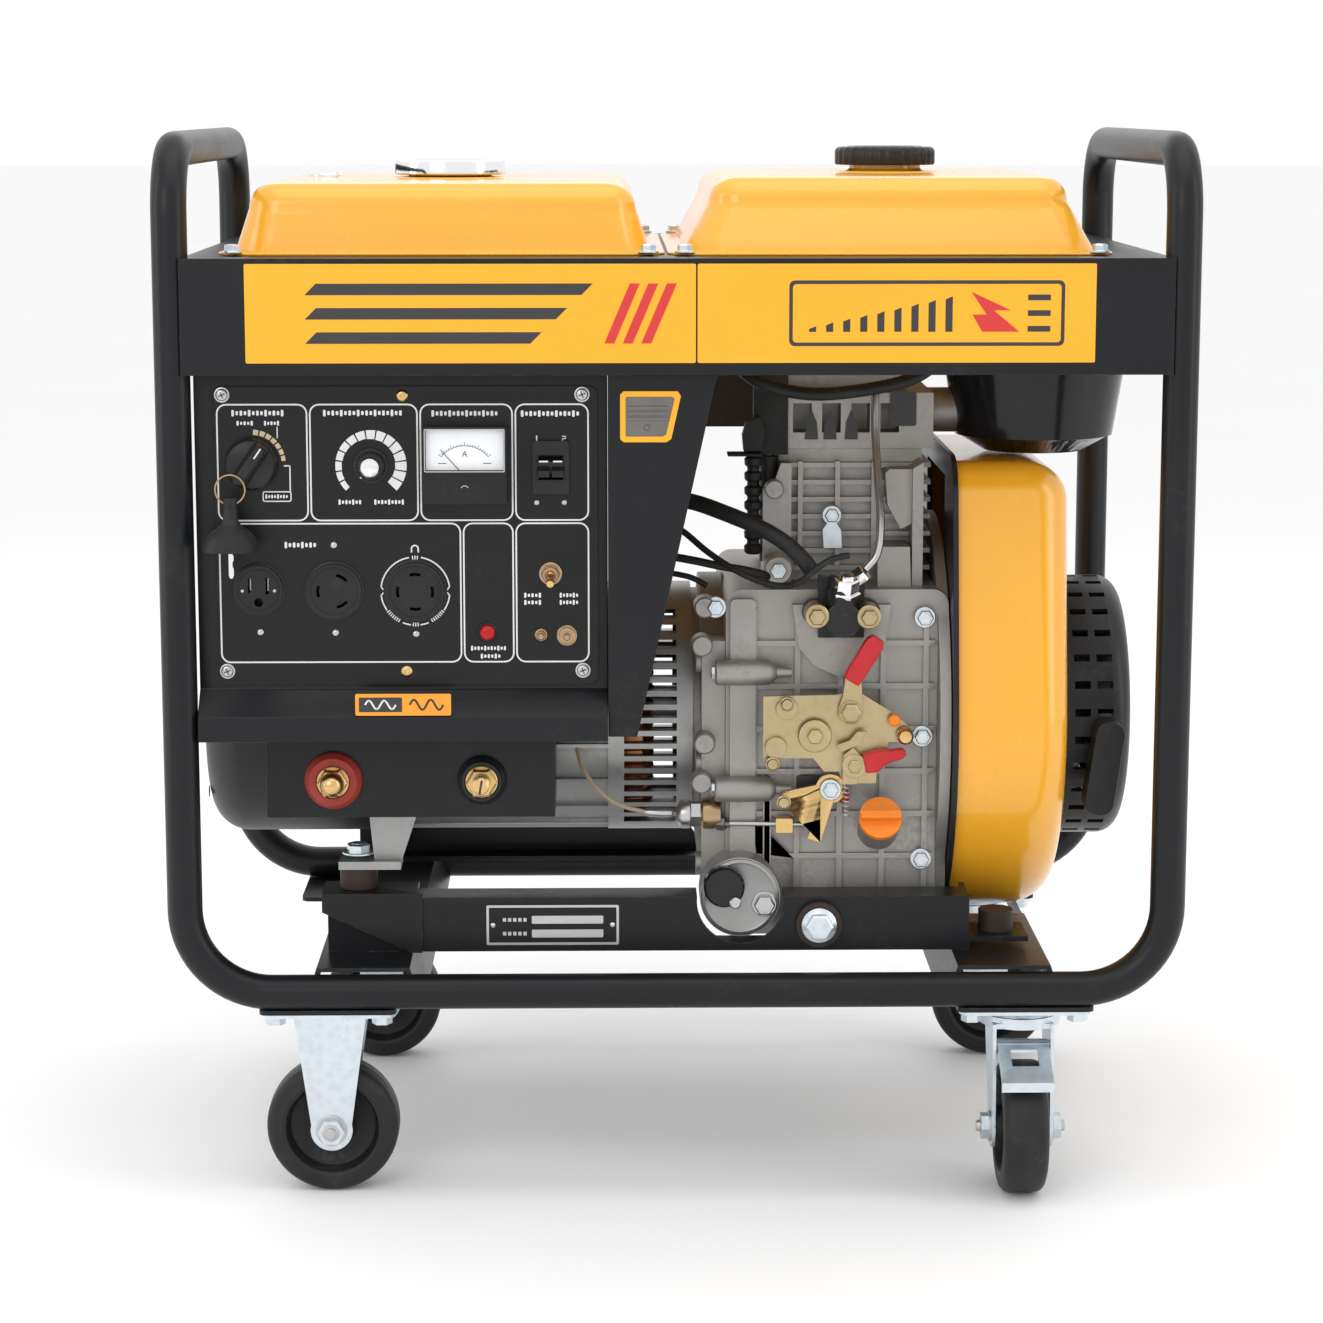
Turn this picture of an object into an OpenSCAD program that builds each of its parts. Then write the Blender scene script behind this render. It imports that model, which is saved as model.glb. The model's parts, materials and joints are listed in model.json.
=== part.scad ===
// Engine driven welder: an open tube frame on four casters that carries a diesel
// engine, a single-bearing welding generator, two fuel tanks and a control box.
// Millimetres. +X runs along the crankshaft to the starter end, -Y is the operator's
// side, +Z is up. The origin is on the floor under the middle of the frame.

/* [Tube frame] */
// Length of the frame over the outside of the posts
frame_l = 740; // [690:5:900]
// Width of the frame over the outside of the posts
frame_w = 450; // [440:5:560]
// Outside diameter of the frame tube
tube_d = 25.4; // [22:0.2:32]
// Wall of the frame tube
tube_wall = 2; // [1.5:0.1:3]
// Centreline radius of the bottom corner bends
corner_r = 62; // [45:1:90]
// Centreline radius of the handle bends
handle_r = 45; // [35:1:60]
// Height of the handle bar above the bottom rail, between centrelines
handle_rise = 607; // [590:1:720]

/* [Casters] */
// Diameter of the wheels
wheel_d = 98; // [80:1:116]
// Width of the tyre tread
wheel_w = 34; // [28:1:40]
// Clear height between the wheel and the top plate of a caster
wheel_gap = 41; // [38:1:55]
// Offset of a swivelling wheel behind its kingpin
trail = 18; // [12:1:22]
// Radius of the axle bolts
axle_r = 6; // [5:0.5:8]
// Height of one end of a caster plate to the other
caster_plate_l = 96; // [90:1:120]
// Distance of the caster kingpins in from the frame's end
caster_inset = 115; // [100:1:140]
// Extra inset of the rear fixed caster
rear_inset = 14; // [0:1:30]

/* [Top band] */
// Height of the sheet band that ties the posts together
band_h = 82; // [60:1:100]
// Distance of the band's top below the handle bar's centreline
band_drop = 75; // [65:1:95]
// Thickness of the band sheet
band_t = 2; // [1.5:0.1:3]

/* [Fuel tanks] */
// Height of a tank above the band
left_tank_h = 51; // [40:1:56]
// Height of the right tank above the band
right_tank_h = 55; // [40:1:60]
// Radius of the left filler neck
left_neck_r = 30; // [25:0.5:34]
// Radius of the right filler neck
right_neck_r = 27; // [22:0.5:30]

/* [Control box] */
// Width of the control box
box_w = 294; // [280:1:300]
// Depth of the control box
box_d = 91; // [80:1:100]
// Height of the control box below the band, sill included
box_h = 265; // [258:1:280]
// Radius of the two weld output studs
stud_r = 6; // [5:0.5:8]

/* [Engine and generator] */
// Height of the crankshaft above the floor's bottom rail centre
crank_rise = 174; // [170:1:190]
// Outside radius of the generator
gen_r = 97; // [85:1:100]
// Radius of the crankshaft journals
journal_r = 17.5; // [15:0.5:20]
// Outside radius of the recoil starter cover
recoil_r = 101; // [90:1:105]
// Radius of the starter rope's wrap on its pulley
rope_wrap_r = 36; // [30:1:45]

/* [Hidden] */
$fn = 48;

// Clearances
run_gap = 0.05;
part_gap = 0.3;
e = 0.01;

// Frame
tube_r = tube_d / 2;
post_x = frame_l / 2 - tube_r;
post_y = frame_w / 2 - tube_r;
wheel_r = wheel_d / 2;
plate_t = 3;
base_t = 3.5;
caster_h = wheel_d + wheel_gap + plate_t;
rail_z = caster_h + base_t + tube_r;
handle_z = rail_z + handle_rise;

// Casters
fork_t = 2.5;
hub_w = wheel_w + 5;
fork_y = hub_w / 2 + 0.5;
caster_plate_w = 80;
caster_y = post_y - 36;
caster_x = frame_l / 2 - caster_inset;
crown_r = 30;
crown_top = caster_h - 9;
crown_t = 8;
pedal_px = 20;
pedal_pin_r = 2.5;
pedal_pz = caster_h - 30;
hex_r = 10;

// Band and tanks
band_top = handle_z - band_drop;
band_z = band_top - band_h;
band_x = post_x - 7.3;
tank_t = 1.5;
flange_t = 2;
tank_gap = 1.3;
tank_split_x = -8;
left_mid_x = -168.5;
right_mid_x = 153.6;
pan_depth = 60;
left_top = band_top + left_tank_h;
right_top = band_top + right_tank_h;

// Control box
box_x0 = -post_x + 13.3;
box_x1 = box_x0 + box_w;
panel_y = -post_y + 9.5;
box_back = panel_y + box_d;
sheet_t = 1.5;
box_z = band_z - box_h + 2;
lip_h = 18;
sill_h = 18;
sill_out = 19;
panel_z0 = box_z + lip_h + sill_h + 3;
panel_z1 = band_z - 9;
panel_x0 = box_x0 + 14;
panel_x1 = box_x1 - 7;
panel_t = 2;
face_y = panel_y - panel_t;

// Places on the control panel, in from its left edge and up from its bottom edge
selector_at = [26.5, 160];
current_at = [111.5, 158.4];
meter_at = [178.5, 159.3];
meter_size = [60, 55];
breaker_at = [239.6, 157.2];
breaker_size = [26, 38];
duplex_at = [30, 69.5];
three_slot_at = [84, 68.5];
four_slot_at = [142, 68];
lamp_at = [193.5, 38];
switch_at = [239, 80.5];
post_at = [[232, 36], [250.6, 35.5]];
duplex_r = 17.5;
three_slot_r = 19.5;
four_slot_r = 21;
selector_r = 18;
current_r = 12;
shaft_r = 3;

// Weld output box
term_x0 = box_x0 + 45;
term_x1 = term_x0 + 210;
term_z0 = box_z - 62;
term_y = panel_y + 13;
term_d = 84;
red_x = term_x0 + 49;
black_x = term_x0 + 157;
stud_z = term_z0 + 28;
red_r = 21;
stud_free = 12;
black_r = 18;

// Drive line
crank_z = rail_z + crank_rise;
case_x0 = 14;
case_x1 = case_x0 + 190;
case_y = 120;
case_z0 = crank_z - 155;
case_z1 = crank_z + 108;
gen_x0 = case_x0 - 371;
cover_l = 130;
rotor_r = 58;
rotor_bore_r = 15;
stator_r = rotor_r + 1;
cyl_x = case_x0 + 116;
head_z = case_z1 + 100;
head_h = 76;
plate_x = case_x1 + 1;
shroud_x0 = plate_x + 4;
shroud_d = 84;
shroud_r = 156;
shroud_top = crank_z + 202;
shroud_half = 128;
recoil_x0 = shroud_x0 + shroud_d;
recoil_d = 54;
rope_r = 2.5;
rope_z = crank_z - rope_wrap_r;
rope_x = recoil_x0 + 28;
rope_exit_y = -78;

// The tail pipe reaches as far back as the foremost piece reaches forward
ring_out = 24;
fob_r = 20;
front_reach = max(caster_y + trail + wheel_r, ring_out + fob_r - face_y);
tail_r = 14;

// Controls on the engine
lever_y = -case_y - 30;
speed_at = [129, 354];
stop_at = [132, 314];
governor_at = [115.4, 293.4];
dip_at = [152.5, -case_y - 12, 263.5];
dip_tilt = 60;
dip_r = 9;

// Bed
bed_y = 165;
bed_z0 = rail_z + tube_r + 5;
bed_h = 41;
bed_t = 4;
bed_x0 = -258;
bed_x1 = 214;
mount_x = 106;
mount_z = bed_z0 + bed_h / 2;
foot_x = -236;
strainer_at = [48, bed_z0 + bed_h - 3.4];

// Hose routes, chosen by hand
feed_hose = [[-34, -110, 508], [-10, -114, 509], [14, -122, 506], [38, -136, 499], [62, -148, 490],
             [80, -156, 480], [93, -158, 468], [100, -155, 458]];
leak_hose = [[-12, -112, 494], [6, -120, 484], [24, -130, 470], [44, -142, 458], [64, -150, 450],
             [80, -157, 448.5], [91, -165, 453], [102, -170, 463], [114, -170, 470], [126, -166, 472]];
loom = [[-30, -112, 468], [-6, -114, 465], [14, -118, 462], [34, -120, 458], [52, -120, 455], [66, -116, 451],
        [74, -108, 446.5]];
tank_hose = [[40, -130, 612], [62, -140, 596], [96, -142, 588], [134, -140, 590],
             [172, -136, 598], [196, -130, 612]];

// ---------- shared shapes ----------

// A bar of one radius along X, Y or Z
module bar_x(r, x0, x1) translate([x0, 0, 0]) rotate([0, 90, 0]) cylinder(r = r, h = x1 - x0);
module bar_y(r, y0, y1) translate([0, y0, 0]) rotate([-90, 0, 0]) cylinder(r = r, h = y1 - y0);
module bar_z(r, z0, z1) translate([0, 0, z0]) cylinder(r = r, h = z1 - z0);

// A six-sided bolt head or nut along Y or Z
module hex_y(r, y0, y1) translate([0, y0, 0]) rotate([-90, 0, 0]) cylinder(r = r, h = y1 - y0, $fn = 6);
module hex_z(r, z0, z1) translate([0, 0, z0]) cylinder(r = r, h = z1 - z0, $fn = 6);

// A block given by two opposite corners
module block(a, b) translate(a) cube(b - a);

// A quarter bend of round bar, from +X round to +Y
module quarter_bend(r, d) rotate_extrude(angle = 90) translate([r, 0]) circle(d = d);

// A flat plate with rounded corners in the XZ plane, from y0 to y1
module panel_xz(x0, z0, x1, z1, r, y0, y1) {
    translate([0, y1, 0]) rotate([90, 0, 0]) linear_extrude(y1 - y0) {
        translate([x0 + r, z0]) square([x1 - x0 - 2 * r, z1 - z0]);
        translate([x0, z0 + r]) square([x1 - x0, z1 - z0 - 2 * r]);
        for (x = [x0 + r, x1 - r], z = [z0 + r, z1 - r]) translate([x, z]) circle(r);
    }
}

// An outline drawn in the XZ plane, made solid from y0 to y1
module slab_xz(y0, y1) translate([0, y1, 0]) rotate([90, 0, 0]) linear_extrude(y1 - y0) children();

// An outline drawn in the YZ plane, made solid from x0 to x1
module slab_yz(x0, x1) translate([x0, 0, 0]) rotate([90, 0, 90]) linear_extrude(x1 - x0) children();

// A plate with rounded corners in the XY plane
module plate_xy(w, d, r, z0, z1) {
    translate([0, 0, z0]) linear_extrude(z1 - z0) {
        square([w - 2 * r, d], center = true);
        square([w, d - 2 * r], center = true);
        for (x = [-1, 1], y = [-1, 1]) translate([x * (w / 2 - r), y * (d / 2 - r)]) circle(r);
    }
}

// Direction of a route at point i
function step_dir(p, i) = let (a = p[max(i - 1, 0)], b = p[min(i + 1, len(p) - 1)]) (b - a) / norm(b - a);

// A ring of points round a route's point i
function ring_at(p, i, r, n) =
    let (t = step_dir(p, i), s = cross([0, 0, 1], t), u = s / norm(s), v = cross(t, u))
    [for (k = [0:n - 1]) p[i] + r * cos(360 * k / n) * u + r * sin(360 * k / n) * v];

// A hose swept along a route of hand-placed points
module hose(p, r, n = 8) {
    rings = [for (i = [0:len(p) - 1]) each ring_at(p, i, r, n)];
    last = (len(p) - 1) * n;
    walls = [for (i = [0:len(p) - 2], k = [0:n - 1])
             let (a = i * n + k, b = i * n + (k + 1) % n) each [[a, a + n, b], [b, a + n, b + n]]];
    ends = [[for (k = [0:n - 1]) k], [for (k = [n - 1:-1:0]) last + k]];
    polyhedron(points = rings, faces = concat(walls, ends));
}

// ---------- frame ----------

// Round bar bent into the front half of the frame
module loop_bar(d) {
    translate([0, -post_y, rail_z]) rotate([0, 90, 0])
        cylinder(d = d, h = 2 * (post_x - corner_r), center = true);
    for (m = [0, 1]) mirror([m, 0, 0]) {
        translate([post_x - corner_r, -post_y, rail_z + corner_r])
            rotate([90, 0, 0]) rotate([0, 0, -90]) quarter_bend(corner_r, d);
        translate([post_x, -post_y, rail_z + corner_r])
            cylinder(d = d, h = handle_rise - corner_r - handle_r);
        translate([post_x, -post_y + handle_r, handle_z - handle_r])
            rotate([90, 0, 90]) rotate([0, 0, 90]) quarter_bend(handle_r, d);
        translate([post_x, -post_y + handle_r, handle_z])
            rotate([-90, 0, 0]) cylinder(d = d, h = post_y - handle_r);
    }
}

module tube_loop() {
    color("#16171a") difference() {
        loop_bar(tube_d);
        loop_bar(tube_d - 2 * tube_wall);
    }
}

module front_loop() tube_loop();
module rear_loop() mirror([0, 1, 0]) tube_loop();

// Space taken by the four posts
module posts(d) {
    for (x = [-post_x, post_x], y = [-post_y, post_y])
        translate([x, y, band_z - 20]) cylinder(d = d, h = band_h + 40);
}

module top_band() {
    out_y = post_y + tube_r;
    open_y = post_y - 38;
    color("#16171a") difference() {
        block([-band_x, -out_y, band_z], [band_x, out_y, band_top]);
        block([-band_x + band_t, -out_y + band_t, band_z - 1],
              [band_x - band_t, out_y - band_t, band_top - band_t]);
        block([left_mid_x - 146, -open_y, band_top - 5], [left_mid_x + 146, open_y, band_top + 1]);
        block([right_mid_x - 146, -open_y, band_top - 5], [right_mid_x + 146, open_y, band_top + 1]);
        posts(tube_d);
    }
}

// One channel rail of the engine bed, on the operator's side
module bed_rail() {
    difference() {
        block([bed_x0, -bed_y, bed_z0], [bed_x1, -bed_y + 30, bed_z0 + bed_h]);
        block([bed_x0 - 1, -bed_y + bed_t, bed_z0 + bed_t],
              [bed_x1 + 1, -bed_y + 31, bed_z0 + bed_h - bed_t]);
        translate([strainer_at[0], 0, strainer_at[1]]) bar_y(32.5, -bed_y - 1, -bed_y + 31);
        translate([mount_x, 0, mount_z]) bar_y(15, -bed_y - 1, -bed_y + bed_t + 1);
    }
    // raised pad under the generator foot
    slab_xz(-bed_y - bed_t, -bed_y)
        polygon([[bed_x0 - 4, bed_z0 + bed_h + 4], [bed_x0 - 4, bed_z0 + bed_h - 10],
                 [bed_x0 + 62, bed_z0], [bed_x0 + 70, bed_z0], [bed_x0 + 70, bed_z0 + bed_h + 4]]);
    block([bed_x0 - 4, -bed_y - bed_t, bed_z0 + bed_h], [bed_x0 + 66, -bed_y + 38, bed_z0 + bed_h + 4]);
    // end bracket beside the fan housing
    block([bed_x1, -bed_y, bed_z0 + 6], [bed_x1 + 48, -bed_y + 44, bed_z0 + 10]);
    block([bed_x1, -bed_y, bed_z0], [bed_x1 + bed_t, -bed_y + 44, bed_z0 + bed_h]);
}

// A folded cross member standing on both bottom rails
module cross_member() {
    top = bed_z0;
    low = rail_z - tube_r;
    slab_xz(-post_y, post_y) difference() {
        polygon([[-44, low], [-34, top], [34, top], [44, low]]);
        polygon([[-40, low - 1], [-31, top - 3], [31, top - 3], [40, low - 1]]);
    }
}

module bed_frame() {
    color("#16171a") difference() {
        union() {
            for (m = [0, 1]) mirror([0, m, 0]) bed_rail();
            for (x = [-caster_x + 26, caster_x - 16]) translate([x, 0, 0]) cross_member();
            for (x = [-caster_x, caster_x], y = [-caster_y, caster_y])
                translate([x, y, 0])
                    plate_xy(caster_plate_l + 4, caster_plate_w + 4, 6, caster_h, caster_h + base_t);
        }
        for (y = [-post_y, post_y]) translate([0, y, rail_z]) bar_x(tube_r, -post_x, post_x);
        // relief under the fan housing and its back plate
        translate([0, 0, crank_z]) bar_x(shroud_r + 9, case_x1 - 10, recoil_x0 + 2);
    }
}

module rubber_mounts() {
    color("#2a211d") for (m = [0, 1]) mirror([0, m, 0]) {
        // bush in the rail's web, round the crankcase bolt
        translate([mount_x, 0, mount_z]) difference() {
            union() {
                bar_y(15, -bed_y - 1, -bed_y + bed_t + 1);
                bar_y(17, -bed_y - 6, -bed_y);
                bar_y(16, -bed_y + bed_t, -case_y - 4);
            }
            bar_y(6, -bed_y - 8, -case_y + 1);
        }
        // pads under the generator foot and beside the fan housing
        translate([foot_x, -bed_y + 20, 0]) bar_z(14, bed_z0 + bed_h + 4, bed_z0 + bed_h + 20);
        translate([bed_x1 + 26, -bed_y + 22, 0]) bar_z(13, bed_z0 + 10, bed_z0 + 26);
    }
}

module fasteners() {
    color("#b9bdc0") {
        for (m = [0, 1]) mirror([0, m, 0]) {
            // crankcase bolts through the rail bushes
            translate([mount_x, 0, mount_z]) {
                bar_y(6, -bed_y - 8, -case_y - 4);
                bar_y(13, -bed_y - 8, -bed_y - 6);
                hex_y(11, -bed_y - 16, -bed_y - 8);
            }
            // tank flange bolts
            for (x = [left_mid_x - 148, left_mid_x + 148, right_mid_x - 148, right_mid_x + 148])
                translate([x, -post_y + 26, 0]) {
                    bar_z(7, band_top + flange_t, band_top + flange_t + 1.5);
                    hex_z(5.5, band_top + flange_t + 1.5, band_top + flange_t + 6);
                }
        }
        // control panel screws
        for (x = [panel_x0 + 6.4, panel_x1 - 11], z = [panel_z0 + 10.2, panel_z1 - 6])
            translate([x, 0, z]) bar_y(5, face_y - 2.5, face_y);
    }
}

// ---------- casters ----------

// Side plates of a fork: from a neck at the top down to the axle at [ax, wheel_r]
module fork_sides(ax, top, half) {
    for (s = [-1, 1]) translate([0, s * (fork_y + fork_t / 2), 0])
        slab_xz(-fork_t / 2, fork_t / 2) {
            polygon([[-half, top], [half, top], [ax + 15, wheel_r + 4], [ax - 15, wheel_r + 4]]);
            translate([ax, wheel_r]) circle(15.5);
        }
    translate([ax, 0, wheel_r]) {
        bar_y(axle_r, -fork_y - fork_t, fork_y + fork_t);
        for (s = [-1, 1]) translate([0, s * (fork_y + fork_t + 3.5), 0]) hex_y(hex_r, -3.5, 3.5);
    }
}

// Bolted top plate with four bolt heads underneath
module caster_plate() {
    plate_xy(caster_plate_l, caster_plate_w, 8, caster_h - plate_t, caster_h);
    for (x = [-1, 1], y = [-1, 1])
        translate([x * (caster_plate_l / 2 - 9), y * (caster_plate_w / 2 - 10), 0])
            hex_z(7.5, caster_h - plate_t - 6, caster_h - plate_t);
}

module caster_brackets() {
    color("#b4bcc0") {
        for (p = [[-caster_x, -caster_y], [-caster_x + rear_inset, caster_y]])
            translate([p[0], p[1], 0]) {
                caster_plate();
                fork_sides(0, caster_h - plate_t, 27);
            }
        for (s = [-1, 1]) translate([caster_x, s * caster_y, 0]) {
            caster_plate();
            bar_z(crown_r - 3, crown_top + part_gap, caster_h - plate_t);
            bar_z(axle_r, crown_top - crown_t - 5, caster_h - plate_t);
            hex_z(9, crown_top - crown_t - 6, crown_top - crown_t - part_gap);
        }
    }
}

// A wheel on its axle's place: tyre and hub with a running bore, axle along Y
module wheel() {
    color("#1b1b1c") rotate([90, 0, 0]) difference() {
        union() {
            rotate_extrude($fn = 96) {
                translate([wheel_r - 6, -wheel_w / 2 + 5]) square([6, wheel_w - 10]);
                translate([wheel_r - 22, -wheel_w / 2]) square([17, wheel_w]);
                for (s = [-1, 1]) translate([wheel_r - 5, s * (wheel_w / 2 - 5)]) circle(5);
                translate([14, -6]) square([wheel_r - 30, 12]);
            }
            cylinder(r = 16, h = hub_w, center = true);
        }
        cylinder(r = axle_r + run_gap, h = hub_w + 2, center = true);
    }
}

module wheel_front_left() translate([-caster_x, -caster_y, wheel_r]) wheel();
module wheel_rear_left() translate([-caster_x + rear_inset, caster_y, wheel_r]) wheel();

// A swivelling fork with its kingpin at the origin and its wheel towards +X
module swivel_fork() {
    color("#b4bcc0") {
        difference() {
            union() {
                bar_z(crown_r, crown_top - crown_t, crown_top);
                block([-22, -fork_y - fork_t, crown_top - crown_t], [26, fork_y + fork_t, crown_top - 4]);
            }
            bar_z(axle_r + run_gap, crown_top - crown_t - 1, crown_top + 1);
        }
        fork_sides(trail, crown_top - 4, 28);
        translate([pedal_px, 0, pedal_pz]) bar_y(pedal_pin_r, -fork_y - fork_t, fork_y + fork_t);
    }
}

// Sheet brake pedal hung on the fork in front of the wheel, swivel_fork's frame
module brake_pedal() {
    w = fork_y - 1;
    color("#b4bcc0") difference() {
        translate([0, w, 0]) rotate([90, 0, 0]) linear_extrude(2 * w) {
            polygon([[pedal_px + 6, pedal_pz + 2.5], [pedal_px + 6, pedal_pz], [pedal_px + 38, pedal_pz - 20],
                     [pedal_px + 38, pedal_pz - 25], [pedal_px + 40.5, pedal_pz - 25],
                     [pedal_px + 40.5, pedal_pz - 18]]);
            translate([pedal_px, pedal_pz]) circle(4);
            polygon([[pedal_px, pedal_pz - 2.5], [pedal_px + 8, pedal_pz - 1.5], [pedal_px + 7, pedal_pz + 2.2],
                     [pedal_px, pedal_pz + 3]]);
        }
        block([pedal_px + 12, -10, pedal_pz - 30], [pedal_px + 26, 10, pedal_pz + 10]);
        translate([pedal_px, 0, pedal_pz]) bar_y(pedal_pin_r + run_gap, -w - 1, w + 1);
    }
}

module at_front_swivel() translate([caster_x, -caster_y, 0]) rotate([0, 0, -90]) children();
module at_rear_swivel() translate([caster_x, caster_y, 0]) children();

module swivel_fork_front() at_front_swivel() swivel_fork();
module swivel_fork_rear() at_rear_swivel() swivel_fork();
module wheel_front_right() at_front_swivel() translate([trail, 0, wheel_r]) wheel();
module wheel_rear_right() at_rear_swivel() translate([trail, 0, wheel_r]) wheel();
module brake_pedal_front() at_front_swivel() brake_pedal();
module brake_pedal_rear() at_rear_swivel() brake_pedal();

// ---------- control box ----------

// Side outline of the control box, Y across and Z up, drawn in by t
module box_outline(t) {
    polygon([[panel_y + t, band_z - 1 + 2 * t], [panel_y + t, panel_z0 - 3 - 0.4 * t],
             [panel_y - sill_out + t, box_z + lip_h - 0.4 * t], [panel_y - sill_out + t, box_z + t],
             [box_back - t, box_z + t], [box_back - t, band_z - 1 + 2 * t]]);
}

module control_box() {
    color("#17181b") difference() {
        slab_yz(box_x0, box_x1) box_outline(0);
        slab_yz(box_x0 + sheet_t, box_x1 - sheet_t) box_outline(sheet_t);
        block([panel_x0 + 10, panel_y - 1, panel_z0 + 10], [panel_x1 - 10, panel_y + 3, panel_z1 - 10]);
    }
}

// A place on the panel's face, given in from its left edge and up from its bottom
module on_panel(p) translate([panel_x0 + p[0], face_y, panel_z0 + p[1]]) children();

module panel_plate() {
    color("#111214") difference() {
        panel_xz(panel_x0, panel_z0, panel_x1, panel_z1, 6, face_y, panel_y);
        on_panel(selector_at) bar_y(shaft_r + 2 + part_gap, -1, panel_t + 1);
        on_panel(current_at) bar_y(shaft_r + part_gap, -1, panel_t + 1);
        on_panel(meter_at) bar_y(24, -1, panel_t + 1);
        on_panel(breaker_at) block([-9, -1, -14], [9, panel_t + 1, 14]);
        on_panel(duplex_at) bar_y(duplex_r - 1.5, -1, panel_t + 1);
        on_panel(three_slot_at) bar_y(three_slot_r - 1.5, -1, panel_t + 1);
        on_panel(four_slot_at) bar_y(four_slot_r - 1.5, -1, panel_t + 1);
        on_panel(lamp_at) bar_y(5, -1, panel_t + 1);
        on_panel(switch_at) bar_y(6, -1, panel_t + 1);
    }
}

// Folded cover that slopes away beside the engine
module side_cover() {
    z0 = box_z + 2;
    z1 = band_z - part_gap;
    front = panel_y - 12;
    color("#17181b") difference() {
        slab_xz(front, front + 86)
            polygon([[box_x1 + 0.2, z0], [box_x1 + 21, z0], [box_x1 + 78, z1], [box_x1 + 0.2, z1]]);
        slab_xz(front + sheet_t, front + 90)
            polygon([[box_x1 + 0.1, z0 + sheet_t], [box_x1 + 19.5, z0 + sheet_t],
                     [box_x1 + 76.2, z1 - sheet_t], [box_x1 + 0.1, z1 - sheet_t]]);
    }
}

module selector_knob() {
    color("#1d1d1f") on_panel(selector_at) {
        bar_y(selector_r, -8, -part_gap);
        rotate([0, 35, 0]) panel_xz(-5, -20, 5, 20, 4, -22, -7);
        bar_y(shaft_r + 2, -1, 25);
    }
}

// Split ring that hangs from the key in the selector
ring_at_panel = selector_at + [-13, -16];
ring_r = 10.5;
fob_hole_r = 2.8;

module key_ring() {
    color("#8d7350") on_panel(ring_at_panel) translate([0, -ring_out, 0]) rotate([90, 0, 0])
        rotate_extrude() translate([ring_r, 0]) circle(r = 1.1, $fn = 24);
}

// Rubber dome that hangs on the ring, with a key blade below it
module key_fob() {
    top = -ring_r - 2.6;
    color("#202022") on_panel(ring_at_panel) translate([0, -ring_out, 0]) {
        difference() {
            union() {
                translate([0, 0, top - 12]) cylinder(r = 5, h = 19.5);
                translate([0, 0, top - 30]) cylinder(r1 = fob_r, r2 = 8, h = 20);
            }
            translate([0, 0, top - 31]) cylinder(r1 = fob_r - 1.5, r2 = 6.5, h = 18);
            translate([0, 0, 0.6 - ring_r]) bar_x(fob_hole_r, -9, 9);
        }
        block([-1.6, -0.6, top - 50], [1.6, 0.6, top - 12]);
    }
}

module current_knob() {
    color("#2a2a2c") on_panel(current_at) {
        bar_y(current_r, -9, -part_gap);
        bar_y(current_r - 4.5, -15, -8);
        rotate([0, -140, 0]) translate([0, 0, current_r - 4]) block([-0.8, -10, 0], [0.8, -8, 3]);
        bar_y(shaft_r, -1, 20);
    }
}

module meter_case() {
    w = meter_size[0] / 2;
    h = meter_size[1] / 2;
    color("#141416") on_panel(meter_at) difference() {
        union() {
            block([-w, -11, -h], [w, 0, h]);
            bar_y(23.5, -1, 42);
        }
        block([-w + 2, -12, -4], [w - 2, -5, h - 2]);
        translate([0, 0, -8]) bar_y(5.8, -8, -4.5);
    }
}

module meter_needle() {
    color("#8a1d1a") on_panel(meter_at) translate([0, -7, -8]) {
        bar_y(3, -0.6, 1.6);
        rotate([0, -42, 0]) block([-0.35, -0.4, 0], [0.35, 0.4, 27]);
    }
}

// Breaker body, lamp bezel, switch bush and the two earth posts
module panel_fittings() {
    color("#3a3a3c") {
        on_panel(breaker_at) difference() {
            union() {
                block([-breaker_size[0] / 2, -4, -breaker_size[1] / 2],
                      [breaker_size[0] / 2, 0, breaker_size[1] / 2]);
                block([-8.5, -1, -13.5], [8.5, 45, 13.5]);
            }
            block([-10, -6, -9], [10, 12, 9]);
        }
        on_panel(lamp_at) {
            bar_y(6.5, -4, 0);
            bar_y(4.7, -1, 22);
        }
        on_panel(switch_at) difference() {
            union() {
                bar_y(8, -3, 0);
                bar_y(5.7, -8, 24);
            }
            bar_y(3.6, -9, 0);
            translate([0, -1, 0]) sphere(r = 4.4, $fn = 32);
        }
        for (p = post_at) on_panel(p) {
            bar_y(7, -2, 0);
            bar_y(4, -12, 0);
        }
    }
}

module breaker_toggle() {
    color("#1a1a1c") on_panel(breaker_at) translate([0, 2, 0]) {
        rotate([0, 90, 0]) cylinder(r = 6, h = 18, center = true);
        rotate([18, 0, 0]) for (x = [-9, 1]) block([x, -13, -2.5], [x + 8, 0, 2.5]);
    }
}

module toggle_lever() {
    color("#b08d57") on_panel(switch_at) translate([0, -1, 0]) {
        sphere(r = 4.1, $fn = 32);
        rotate([14, 0, 0]) {
            bar_y(1.6, -16, 0);
            bar_y(2.6, -20, -13);
        }
    }
}

// Round face of one receptacle, its contact slots cut by the children
module receptacle(r) {
    difference() {
        union() {
            bar_y(r, -4, 0);
            bar_y(r - 2, -1, 34);
        }
        children();
    }
}

// A contact slot that lies on a circle, for a twist-lock plug
module arc_slot(r, a, span) {
    translate([0, -5, 0]) rotate([-90, 0, 0]) rotate([0, 0, a - span / 2])
        rotate_extrude(angle = span) translate([r, 0]) square([2.2, 16]);
}

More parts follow.
